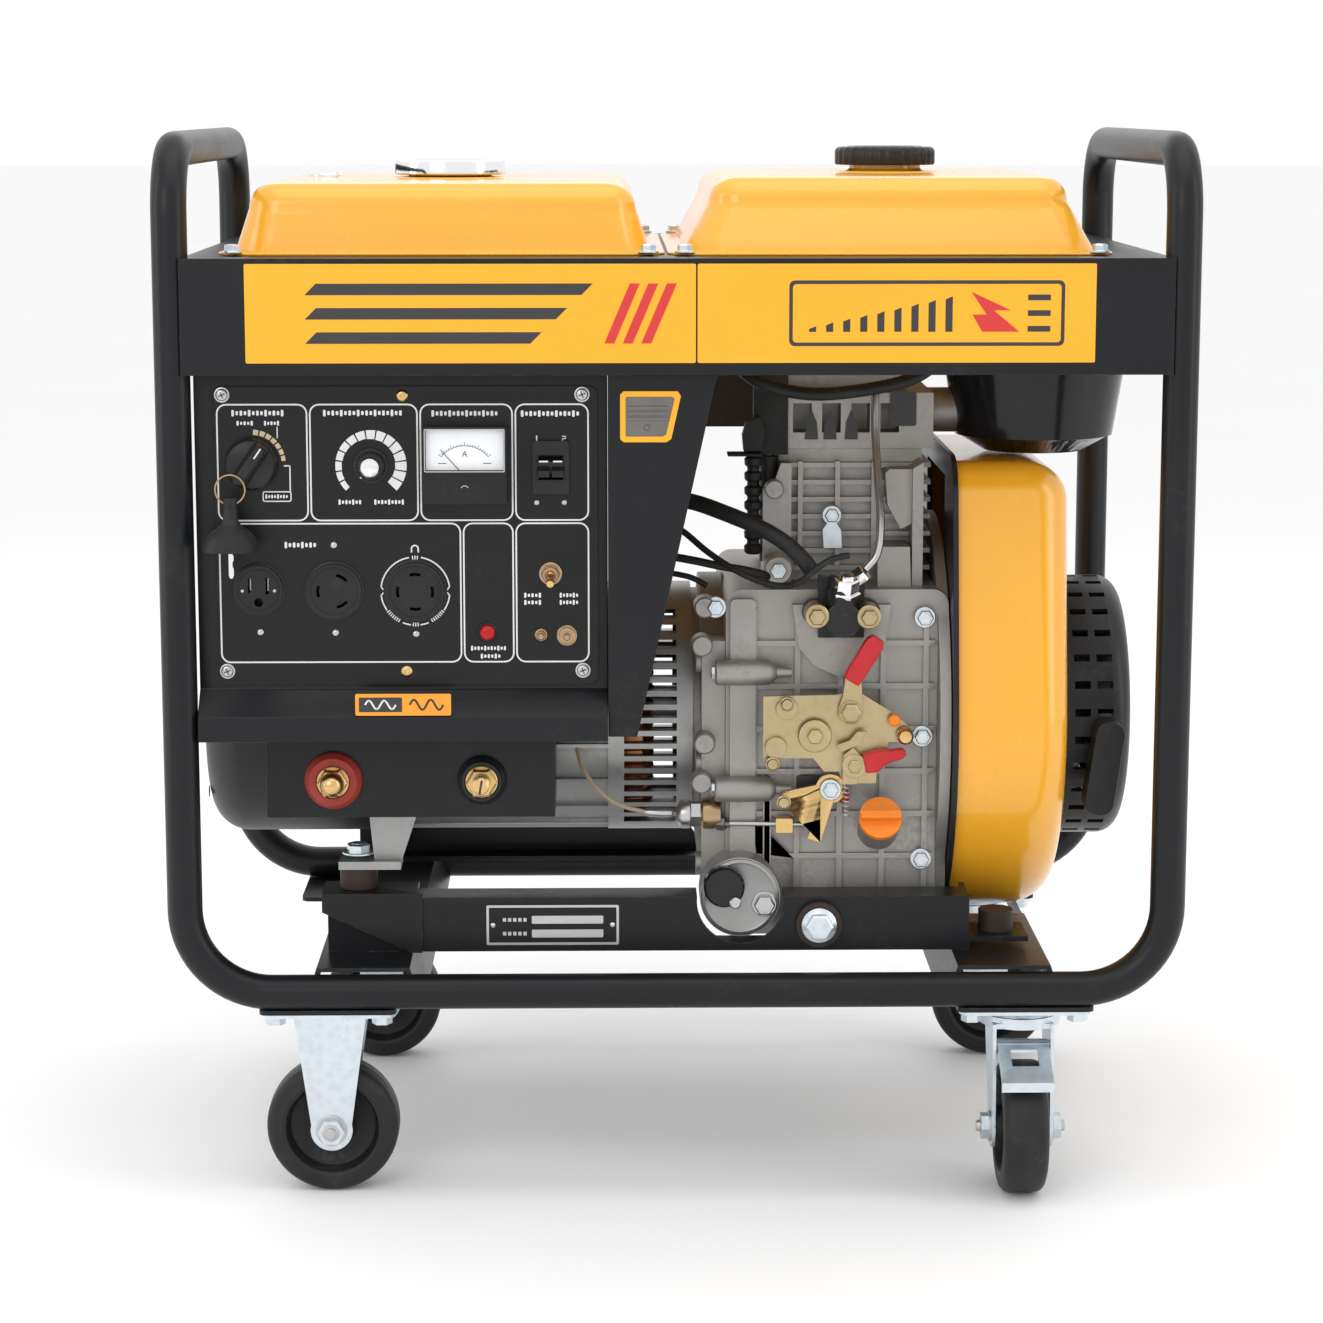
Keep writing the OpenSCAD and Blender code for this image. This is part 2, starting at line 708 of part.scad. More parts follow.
module receptacles() {
    color("#202123") {
        on_panel(duplex_at) receptacle(duplex_r) {
            block([-7.5, -5, -2], [-5.1, 12, 8]);
            block([5.1, -5, -3], [7.5, 12, 9]);
            translate([0, 0, -9]) bar_y(3.2, -5, 12);
        }
        on_panel(three_slot_at) receptacle(three_slot_r)
            for (a = [0, 120, 240]) arc_slot(10.5, a + 60, 42);
        on_panel(four_slot_at) receptacle(four_slot_r)
            for (a = [0, 90, 180, 270]) arc_slot(11.5, a, 36);
    }
}

// ---------- weld output ----------

module terminal_box() {
    z1 = box_z - part_gap;
    color("#17181b") difference() {
        block([term_x0, term_y, term_z0], [term_x1, term_y + term_d, z1]);
        block([term_x0 + sheet_t, term_y + 3, term_z0 + sheet_t],
              [term_x1 - sheet_t, term_y + term_d + 1, z1 + 1]);
        for (x = [red_x, black_x]) translate([x, 0, stud_z]) bar_y(stud_r + 4.2, term_y - 1, term_y + 4);
    }
}

// Flanged insulating bush of one output stud
module insulator(r) {
    difference() {
        union() {
            bar_y(r, term_y - 9, term_y);
            bar_y(stud_r + 4, term_y - 1, term_y + 8);
        }
        bar_y(stud_r, term_y - 10, term_y + 9);
    }
}

module insulator_red() color("#9c2f28") translate([red_x, 0, stud_z]) insulator(red_r);
module insulator_black() color("#1c1c1e") translate([black_x, 0, stud_z]) insulator(black_r);

module terminal_studs() {
    color("#b08d4f") for (x = [red_x, black_x]) translate([x, 0, stud_z]) {
        bar_y(stud_r, term_y - 18 - stud_free, term_y + 16);
        hex_y(12, term_y - 18, term_y - 9);
        hex_y(10, term_y + 8, term_y + 14);
    }
}

// ---------- generator ----------

// Half outline of the end cover, along X from its closed end, with a round edge
module cover_outline(r, l, edge) {
    square([r - edge, l]);
    translate([0, edge]) square([r, l - edge]);
    translate([r - edge, edge]) circle(edge);
}

module generator_cover() {
    color("#1a1b1d") translate([gen_x0, 0, crank_z]) rotate([0, 90, 0]) difference() {
        rotate_extrude($fn = 96) intersection() {
            cover_outline(gen_r, cover_l, 28);
            square([gen_r + 1, cover_l]);
        }
        translate([0, 0, 3]) rotate_extrude($fn = 96) intersection() {
            cover_outline(gen_r - 3, cover_l, 25);
            square([gen_r + 1, cover_l]);
        }
        for (a = [15:30:345]) rotate([0, 0, a]) block([42, -5, -1], [66, 5, 8]);
        translate([0, 0, -1]) cylinder(r = 12 + run_gap, h = 5);
    }
    color("#1a1b1d") translate([0, 0, crank_z]) difference() {
        bar_x(24, gen_x0 + 3, gen_x0 + 22);
        bar_x(12 + run_gap, gen_x0 + 2, gen_x0 + 23);
    }
}

// Housing with the wound core inside it, cooling ribs and a slotted drive end
module generator_body() {
    x0 = gen_x0 + cover_l;
    bell = 64;
    color("#8f9193") difference() {
        union() {
            slab_yz(x0, case_x0 - bell) translate([0, crank_z]) difference() {
                union() {
                    circle(gen_r - 4);
                    for (a = [9:18:351]) rotate(a) translate([0, gen_r - 5]) square([3, 8], center = true);
                }
                circle(gen_r - 10);
            }
            translate([0, 0, crank_z]) difference() {
                bar_x(gen_r, case_x0 - bell, case_x0);
                bar_x(gen_r - 10, case_x0 - bell - 1, case_x0 - 4);
                bar_x(26, case_x0 - 5, case_x0 + 1);
            }
        }
        for (z = [-80:10:80])
            block([case_x0 - bell + 12, -gen_r - 1, crank_z + z - 3],
                  [case_x0 - 12, gen_r + 1, crank_z + z + 3]);
    }
    // wound core
    color("#8f9193") slab_yz(x0 + 12, case_x0 - bell - 8) translate([0, crank_z]) difference() {
        circle(gen_r - 9);
        circle(stator_r);
    }
    // cast feet on the rubber pads
    color("#8f9193") for (m = [0, 1]) mirror([0, m, 0]) {
        block([foot_x - 14, -bed_y + 6, bed_z0 + bed_h + 20], [foot_x + 32, -bed_y + 34, bed_z0 + bed_h + 26]);
        slab_xz(-bed_y + 16, -bed_y + 22)
            polygon([[foot_x + 12, bed_z0 + bed_h + 24], [foot_x + 32, bed_z0 + bed_h + 24],
                     [foot_x + 46, term_z0 - part_gap], [foot_x + 8, term_z0 - part_gap]]);
        slab_yz(foot_x + 14, foot_x + 22)
            polygon([[-bed_y + 20, bed_z0 + bed_h + 24], [-62, crank_z - 76], [-50, crank_z - 84],
                     [-50, crank_z - 74], [-bed_y + 20, term_z0 - 2]]);
    }
}

module rotor() {
    x0 = gen_x0 + cover_l;
    color("#6b5b4a") translate([0, 0, crank_z]) difference() {
        union() {
            bar_x(rotor_r, x0 + 20, case_x0 - 74);
            bar_x(12, gen_x0 + 4, x0 + 21);
            bar_x(34, gen_x0 + 60, gen_x0 + 90);
        }
        bar_x(rotor_bore_r, case_x0 - 124, case_x0 - 73);
    }
}

// ---------- engine ----------

module crankshaft() {
    throw_r = 35;
    mid = cyl_x;
    color("#8c8f92") translate([0, 0, crank_z]) {
        bar_x(rotor_bore_r, case_x0 - 124, case_x0 + 2);
        bar_x(journal_r, case_x0, mid - 28);
        bar_x(journal_r, mid + 28, case_x1 + 2);
        bar_x(14, case_x1, case_x1 + 34);
        for (s = [-1, 1]) slab_yz(mid + s * 22 - 6, mid + s * 22 + 6) {
            translate([0, throw_r]) circle(24);
            circle(28);
            translate([0, -20]) square([76, 40], center = true);
        }
        translate([0, 0, throw_r]) bar_x(16, mid - 17, mid + 17);
    }
}

module crankcase() {
    y0 = -case_y;
    color("#a3a1a0") difference() {
        union() {
            panel_xz(case_x0 + 24, case_z0, case_x1, case_z1, 12, y0, case_y - 10);
            // cylinder with its cooling fins
            block([cyl_x - 56, -62, case_z1 - 2], [cyl_x + 58, 62, head_z]);
            for (z = [case_z1 + 8:13:head_z - 6])
                block([cyl_x - 62, -70, z], [cyl_x + 64, 70, z + 3.5]);
            // end flange of the fan side
            slab_yz(case_x1 - 8, case_x1) translate([0, crank_z]) circle(r = shroud_r - 4, $fn = 96);
            // ribs on the operator's side
            for (x = [case_x0 + 43.3:32:case_x1 - 12])
                block([x, y0 - 4, case_z0 + 16], [x + 4, y0 + 1, case_z1 - 14]);
            for (z = [case_z0 + 59.2:32.4:case_z1 - 20])
                block([case_x0 + 40, y0 - 4, z], [case_x1 - 10, y0 + 1, z + 4]);
            // boss for the dipstick, and the one low down for the strainer
            at_dipstick() cylinder(r = dip_r + 6, h = 26, center = true);
            translate([strainer_at[0], 0, strainer_at[1]]) bar_y(30, y0 - 32, y0 + 4);
            // bosses for the side bolts
            for (m = [0, 1]) mirror([0, m, 0]) translate([mount_x, 0, mount_z])
                bar_y(17.5, -case_y - 4, -case_y + 14);
        }
        block([case_x0 + 32, y0 + 8, case_z0 + 8], [case_x1 - 12, case_y - 18, case_z1 - 10]);
        translate([cyl_x, 0, case_z1 - 12]) cylinder(r = 43, h = head_z - case_z1 + 20);
        translate([0, 0, crank_z]) bar_x(journal_r + run_gap, case_x0 + 20, case_x1 + 1);
        at_dipstick() translate([0, 0, -30]) cylinder(r = dip_r + run_gap, h = 50);
    }
}

// Gear and bearing cover towards the generator
module gear_cover() {
    color("#a3a1a0") difference() {
        union() {
            slab_yz(case_x0 + 6, case_x0 + 24) {
                translate([0, crank_z]) circle(r = 104, $fn = 96);
                translate([-case_y + 4, case_z0 + 34]) square([2 * case_y - 18, 190]);
            }
            slab_yz(case_x0, case_x0 + 7) translate([0, crank_z]) circle(r = 92, $fn = 96);
            for (z = [case_z0 + 52, case_z0 + 130, case_z0 + 208])
                translate([0, -case_y + 14, z]) bar_x(9, case_x0 + 2, case_x0 + 24);
        }
        translate([0, 0, crank_z]) bar_x(journal_r + run_gap, case_x0 - 1, case_x0 + 25);
    }
}

module cylinder_head() {
    color("#a3a1a0") {
        difference() {
            block([cyl_x - 62, -66, head_z], [cyl_x + 66, 66, head_z + head_h * 0.55]);
            for (x = [cyl_x - 40:22:cyl_x + 30])
                block([x, -67, head_z + 12], [x + 14, -40, head_z + 34]);
        }
        panel_xz(cyl_x - 46, head_z + head_h * 0.55, cyl_x + 50, head_z + head_h, 10, -46, 46);
        // inlet and exhaust stubs
        translate([0, 0, head_z + 26]) translate([0, -30, 0]) bar_x(17, cyl_x + 64, cyl_x + 92);
        translate([cyl_x - 20, 0, head_z + 22]) bar_y(18, 64, 82);
    }
}

module injection_pump() {
    px = 123;
    pz = crank_z + 98;
    color("#1b1b1d") {
        slab_xz(-case_y - 14, -case_y - 4) {
            translate([px - 17, pz - 24]) square([34, 46]);
            for (s = [-1, 1]) translate([px + s * 19.5, pz - 5]) circle(9.5);
            translate([px - 19.5, pz - 13]) square([39, 16]);
        }
        translate([px, 0, pz - 8]) bar_y(13, -case_y - 34, -case_y - 12);
        translate([px, -case_y - 24, 0]) bar_z(11, pz - 4, pz + 14);
        translate([px, -case_y - 24, 0]) hex_z(9, pz + 14, pz + 25);
    }
}

module governor_plate() {
    color("#b39b62") {
        difference() {
            slab_xz(lever_y, lever_y + 2.5)
                polygon([[64.5, 365], [118, 366], [134, 369], [161.5, 352], [174.5, 341], [175, 330], [158, 330],
                         [156, 323], [146, 323], [149, 312], [149, 299], [125, 299], [121, 308], [110, 308],
                         [102, 318], [64.5, 318]]);
            translate([speed_at[0], 0, speed_at[1]]) bar_y(4 + run_gap, lever_y - 1, lever_y + 4);
            translate([stop_at[0], 0, stop_at[1]]) bar_y(4 + run_gap, lever_y - 1, lever_y + 4);
        }
        // stand-offs to the crankcase
        for (p = [[82, 356], [102.8, 336], [74, 327]]) translate([p[0], 0, p[1]]) {
            bar_y(6, lever_y + 2.5, -case_y - 4);
            bar_y(8, lever_y - 5, lever_y);
        }
    }
}

// A flat lever on its own pivot pin, standing off the plate
module lever(at, y0, t, pin_end) {
    translate([at[0], 0, at[1]]) {
        bar_y(4, y0 - 3, pin_end);
        bar_y(9, y0, y0 + t);
        bar_y(7, y0 - 7, y0);
        translate([0, y0, 0]) children();
    }
}

module speed_lever() {
    color("#b3202a") lever(speed_at, lever_y - 6, 3, lever_y + 8) {
        block([-6, 0, 0], [6, 3, 28]);
        translate([0.8, 0, 25]) rotate([0, 31.7, 0]) block([-7, -3.5, -2], [7, 5.5, 36]);
    }
}

module stop_lever() {
    color("#b3202a") lever(stop_at, lever_y - 6, 3, lever_y + 8) {
        rotate([0, 78, 0]) {
            block([-5.5, 0.5, 0.7], [5.5, 2.5, 14]);
            block([-8, -3, 8], [8, 5, 24]);
            block([-4.6, -3, 22], [4.6, 5, 40]);
        }
    }
}

module governor_lever() {
    color("#8f8d88") translate([governor_at[0], 0, governor_at[1]]) {
        bar_y(4, -case_y - 24, -case_y - 4 - part_gap);
        bar_y(11, -case_y - 22, -case_y - 17);
        rotate([0, -102, 0]) block([-5, -case_y - 22, 0], [5, -case_y - 17, 36]);
        rotate([0, 197, 0]) block([-5, -case_y - 22, 0], [5, -case_y - 17, 41]);
    }
}

// Frame of the dipstick: +Z runs out of the crankcase, towards the operator and up
module at_dipstick() translate(dip_at) rotate([dip_tilt, 0, 0]) children();

module dipstick() {
    color("#f08a24") at_dipstick() {
        translate([0, 0, -8]) cylinder(r = dip_r, h = 21 + part_gap);
        translate([0, 0, 13 + part_gap]) cylinder(r = 16, h = 6);
        block([-15, -3, 18], [15, 3, 27]);
        translate([0, 0, -60]) cylinder(r = 2, h = 56);
    }
}

module muffler() {
    color("#3b3936") {
        difference() {
            union() {
                panel_xz(-10, head_z + 2, 160, head_z + 66, 26, 84, 184);
                translate([30, 0, head_z + 34]) bar_y(tail_r, 180, front_reach);
            }
            panel_xz(-8, head_z + 4, 158, head_z + 64, 24, 86, 182);
            translate([30, 0, head_z + 34]) bar_y(tail_r - 2, 175, front_reach + 1);
        }
        translate([cyl_x - 20, 0, head_z + 22]) bar_y(17.5, 82, 90);
    }
}

module air_cleaner() {
    color("#19191b") translate([cyl_x + 146, -30, 0]) {
        difference() {
            translate([0, 0, head_z + 8]) cylinder(r1 = 60, r2 = 70, h = head_h - 14);
            translate([0, 0, head_z + 26]) bar_x(17, -80, 92 - 146);
        }
        translate([0, 0, head_z - 4]) cylinder(r1 = 38, r2 = 58, h = 12);
    }
}

// Outline of the fan housing in the YZ plane, grown by g
module fan_outline(g) {
    hull() {
        translate([0, crank_z]) circle(r = shroud_r + g, $fn = 72);
        for (s = [-1, 1]) translate([s * (shroud_half - 30), shroud_top - 30]) circle(r = 30 + g, $fn = 32);
    }
}

// Solid of the fan housing with its rounded outer shoulder, grown by g, x0 to x1
module fan_body(g, x0, x1) {
    hull() {
        slab_yz(x0, x1 - 34) fan_outline(g);
        slab_yz(x1 - 12, x1 - 11) fan_outline(g - 9);
        slab_yz(x1 - 1, x1) fan_outline(g - 28);
    }
}

module fan_shroud() {
    color("#f0a818") difference() {
        fan_body(0, shroud_x0, recoil_x0);
        fan_body(-2.5, shroud_x0 - 1, recoil_x0 - 2.5);
        translate([0, 0, crank_z]) bar_x(recoil_r - 14, shroud_x0, recoil_x0 + 1);
    }
}

module back_plate() {
    color("#1b1c1f") difference() {
        slab_yz(plate_x, plate_x + 4) fan_outline(5);
        translate([0, 0, crank_z]) bar_x(60, plate_x - 1, plate_x + 5);
        block([plate_x - 1, -70, head_z - 80], [plate_x + 5, 70, head_z - 20]);
    }
}

// Cast wheel with fan blades on its outer face
module flywheel() {
    x0 = shroud_x0 + 8;
    color("#77787a") translate([0, 0, crank_z]) {
        difference() {
            union() {
                bar_x(118, x0, x0 + 22);
                for (a = [0:30:330]) rotate([a, 0, 0]) block([x0 + 20, -2, 62], [x0 + 46, 2, 112]);
                bar_x(40, x0 + 20, x0 + 40);
            }
            bar_x(14, x0 - 1, case_x1 + 34);
        }
    }
}

// ---------- recoil starter ----------

module recoil_cover() {
    x1 = recoil_x0 + recoil_d;
    color("#151517") difference() {
        translate([0, 0, crank_z]) union() {
            difference() {
                translate([x1, 0, 0]) rotate([0, -90, 0]) rotate_extrude($fn = 96) difference() {
                    intersection() {
                        cover_outline(recoil_r, recoil_d, 16);
                        square([recoil_r + 1, recoil_d]);
                    }
                    translate([-1, 3]) intersection() {
                        union() {
                            cover_outline(recoil_r - 3, recoil_d, 13);
                            translate([-2, 0]) square([20, recoil_d]);
                        }
                        square([recoil_r + 1, recoil_d]);
                    }
                }
                for (a = [0:12:348]) rotate([a, 0, 0]) {
                    block([x1 - 44, -3, recoil_r - 6], [x1 - 32, 3, recoil_r + 1]);
                    block([x1 - 27, -3, recoil_r - 8], [x1 - 15, 3, recoil_r + 1]);
                }
            }
            bar_x(8, rope_x - 8, x1 - 1);
            // rope guide
            translate([rope_x, 0, rope_z - crank_z]) bar_y(9, -recoil_r + 2, rope_exit_y);
        }
        translate([rope_x, 0, rope_z]) bar_y(rope_r + 1, -recoil_r - 5, rope_exit_y + 1);
    }
}

module recoil_pulley() {
    groove = rope_wrap_r - rope_r - part_gap;
    color("#2b2b2d") translate([0, 0, crank_z]) difference() {
        union() {
            bar_x(groove, rope_x - 5, rope_x + 5);
            bar_x(rope_wrap_r + 8, rope_x - 7, rope_x - 4);
            bar_x(rope_wrap_r + 8, rope_x + 4, rope_x + 7);
        }
        bar_x(8 + run_gap, rope_x - 8.5, rope_x + 8);
    }
}

// Grip outside the cover, with the straight run of rope inside it
module recoil_handle() {
    grip_y = -recoil_r - 12;
    color("#171719") translate([rope_x, 0, rope_z]) {
        bar_y(rope_r, grip_y, 82);
        translate([2, 0, 8]) rotate([0, 8, 0]) panel_xz(-11, -36, 11, 36, 10, grip_y - 12, grip_y + 10);
    }
}

// ---------- fuel tanks ----------

// Pressed tank body between z0 and z1 that narrows upwards, drawn in by t
module tank_body(half_x, half_y, lean, z0, z1, t) {
    r = 18;
    hull() {
        for (x = [-1, 1], y = [-1, 1]) {
            translate([x * (half_x - 30), y * (half_y - 30), z0]) cylinder(r = 30 - t, h = 1, $fn = 32);
            translate([x * (half_x - lean - r), y * (half_y - lean - r), z1 - r])
                sphere(r = r - t, $fn = 32);
        }
    }
}

// A whole tank: pan in the band, flange on it, pressed top, neck with its bore
module tank(half_x, half_y, lean, top, flange_x, flange_y, neck_at, neck_r, neck_top) {
    difference() {
        union() {
            tank_body(half_x, half_y, lean, band_top + flange_t - 1, top, 0);
            plate_xy(2 * flange_x, 2 * flange_y, 26, band_top, band_top + flange_t);
            plate_xy(280, 2 * (post_y - 45), 20, band_top - pan_depth, band_top + 1);
            translate([neck_at[0], neck_at[1], top - 6]) cylinder(r = neck_r, h = neck_top - top + 6);
            translate([neck_at[0], neck_at[1], top - 6]) cylinder(r = neck_r + 14, h = 7.5);
        }
        tank_body(half_x, half_y, lean, band_top + 3, top, tank_t);
        plate_xy(280 - 2 * tank_t, 2 * (post_y - 45 - tank_t), 18, band_top - pan_depth + tank_t, band_top + 6);
        translate([neck_at[0], neck_at[1], top - 12]) cylinder(r = neck_r - 2.4, h = neck_top - top + 14);
    }
}

left_neck_at = [0, -20];
right_neck_at = [8, -10];
neck_rise = 6;
right_neck_rise = 12;

module left_tank() {
    color("#f4b233") {
        translate([left_mid_x, 0, 0])
            tank(148, 178, 9, left_top, 160, 187, left_neck_at, left_neck_r, left_top + neck_rise);
        // fuel gauge with its bezel
        translate([left_mid_x - 100, 60, left_top - 2]) cylinder(r = 12, h = 5);
    }
}

module right_tank() {
    color("#f4b233") translate([right_mid_x, 0, 0])
        tank(147, 180, 17, right_top, 160, 190, right_neck_at, right_neck_r, right_top + right_neck_rise);
}

// Seal under a cap: a disc on the neck with a spigot inside it
module cap_seal(neck_r, z) {
    translate([0, 0, z + 0.02]) cylinder(r = neck_r - 0.4, h = 3);
    translate([0, 0, z - 8]) cylinder(r = neck_r - 2.8, h = 9);
}

// Cap shell over a neck, turning on the seal
module cap_shell(neck_r, z, r, h) {
    difference() {
        translate([0, 0, z + 8 - h]) cylinder(r = r, h = h);
        translate([0, 0, z + 7 - h]) cylinder(r = neck_r + 1.5, h = h - 4 + part_gap);
    }
}

module at_left_cap() translate([left_mid_x + left_neck_at[0], left_neck_at[1], 0]) children();
module at_right_cap() translate([right_mid_x + right_neck_at[0], right_neck_at[1], 0]) children();

module left_cap_seal() color("#2b2b2b") at_left_cap() cap_seal(left_neck_r, left_top + neck_rise);
module right_cap_seal() color("#2b2b2b") at_right_cap() cap_seal(right_neck_r, right_top + right_neck_rise);

module left_cap() color("#cfd2d4") at_left_cap() cap_shell(left_neck_r, left_top + neck_rise, 42.5, 11);

module right_cap() {
    z = right_top + right_neck_rise;
    color("#1a1a1b") at_right_cap() difference() {
        cap_shell(right_neck_r, z, 38, 14);
        for (a = [0:15:345]) rotate([0, 0, a]) translate([39.5, 0, z - 8]) cylinder(r = 3, h = 18);
    }
}

module hoses() {
    color("#141415") {
        hose(feed_hose, 6);
        hose(leak_hose, 2.5);
        hose(loom, 3.2);
        hose(tank_hose, 5);
    }
}

// ---------- nodes ----------

front_loop();
rear_loop();
top_band();
bed_frame();
rubber_mounts();
fasteners();
caster_brackets();
wheel_front_left();
wheel_rear_left();
swivel_fork_front();
swivel_fork_rear();
wheel_front_right();
wheel_rear_right();
brake_pedal_front();
brake_pedal_rear();
control_box();
panel_plate();
side_cover();
selector_knob();
key_ring();
key_fob();
current_knob();
meter_case();
meter_needle();
panel_fittings();
breaker_toggle();
toggle_lever();
receptacles();
terminal_box();
insulator_red();
insulator_black();
terminal_studs();
generator_cover();
generator_body();
rotor();
crankcase();
gear_cover();
cylinder_head();
injection_pump();
governor_plate();
speed_lever();
stop_lever();
governor_lever();
dipstick();
muffler();
air_cleaner();
flywheel();
fan_shroud();
back_plate();
recoil_cover();
recoil_pulley();
recoil_handle();
crankshaft();
left_tank();
right_tank();
left_cap();
left_cap_seal();
right_cap();
right_cap_seal();
hoses();
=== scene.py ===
"""Looks of an engine driven welder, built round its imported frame.

Each sub-assembly is a class that builds its own pieces in the frame of the model and dresses them in
finishes mixed from nodes. Sizes are in millimetres unless a name says otherwise.
"""
from __future__ import annotations

import sys
import json
import logging
import math
from dataclasses import dataclass
from enum import Enum
from typing import Iterable, Sequence, Union

import bmesh
import bpy
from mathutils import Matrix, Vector


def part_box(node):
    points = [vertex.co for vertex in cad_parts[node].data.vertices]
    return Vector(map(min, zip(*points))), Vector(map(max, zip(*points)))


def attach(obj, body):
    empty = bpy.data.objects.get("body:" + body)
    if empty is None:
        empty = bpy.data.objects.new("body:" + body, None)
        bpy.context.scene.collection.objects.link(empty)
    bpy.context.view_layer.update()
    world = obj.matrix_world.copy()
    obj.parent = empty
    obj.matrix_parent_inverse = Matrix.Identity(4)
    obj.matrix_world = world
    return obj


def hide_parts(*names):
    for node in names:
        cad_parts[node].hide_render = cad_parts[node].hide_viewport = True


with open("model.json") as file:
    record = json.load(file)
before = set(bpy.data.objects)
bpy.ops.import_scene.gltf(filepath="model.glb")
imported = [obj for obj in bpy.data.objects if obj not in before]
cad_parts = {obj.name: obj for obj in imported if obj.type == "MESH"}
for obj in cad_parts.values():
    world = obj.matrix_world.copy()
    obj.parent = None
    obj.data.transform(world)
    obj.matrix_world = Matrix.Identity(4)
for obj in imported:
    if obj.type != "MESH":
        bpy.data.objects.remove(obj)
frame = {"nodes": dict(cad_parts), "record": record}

LOG = logging.getLogger("welder")
MM = 0.001
Point = Sequence[float]
Colour = tuple[float, float, float]
Number = Union["Tap", float]
BODY_OF = {node: body for body, nodes in frame["record"]["behaviour"]["bodies"].items() for node in nodes}


# ---------------------------------------------------------------- shader arithmetic

class Tap:
    """A number carried by a node's socket. Arithmetic on it adds Math nodes."""

    def __init__(self, sheet: "NodeSheet", socket: bpy.types.NodeSocket) -> None:
        """Keeps the socket and the sheet that it lies on."""
        self.sheet = sheet
        self.socket = socket

    def work(self, operation: str, first: Number, second: Number = 0.0) -> "Tap":
        """Adds one Math node.

        Args:
            operation: Name of the Math node's operation.
            first: Value of its first socket.
            second: Value of its second socket.

        Returns:
            The node's result.
        """
        made = self.sheet.node("ShaderNodeMath", {"operation": operation}, {0: first, 1: second})
        return Tap(self.sheet, made.outputs[0])

    def __add__(self, other: Number) -> "Tap":
        """Sum."""
        return self.work("ADD", self, other)

    def __radd__(self, other: Number) -> "Tap":
        """Sum, the number first."""
        return self.work("ADD", other, self)

    def __sub__(self, other: Number) -> "Tap":
        """Difference."""
        return self.work("SUBTRACT", self, other)

    def __rsub__(self, other: Number) -> "Tap":
        """Difference, the number first."""
        return self.work("SUBTRACT", other, self)

    def __mul__(self, other: Number) -> "Tap":
        """Product."""
        return self.work("MULTIPLY", self, other)

    def __rmul__(self, other: Number) -> "Tap":
        """Product, the number first."""
        return self.work("MULTIPLY", other, self)

    def __truediv__(self, other: Number) -> "Tap":
        """Quotient."""
        return self.work("DIVIDE", self, other)

    def __pow__(self, other: Number) -> "Tap":
        """Power."""
        return self.work("POWER", self, other)

    def least(self, other: Number) -> "Tap":
        """The smaller of two numbers."""
        return self.work("MINIMUM", self, other)

    def rise(self, low: float, high: float) -> "Tap":
        """Smooth step from 0 at low to 1 at high.

        Args:
            low: Value where the step starts.
            high: Value where the step ends.

        Returns:
            A number from 0 to 1.
        """
        made = self.sheet.node("ShaderNodeMapRange", {"interpolation_type": "SMOOTHSTEP"},
                               {"Value": self, "From Min": low, "From Max": high})
        return Tap(self.sheet, made.outputs[0])


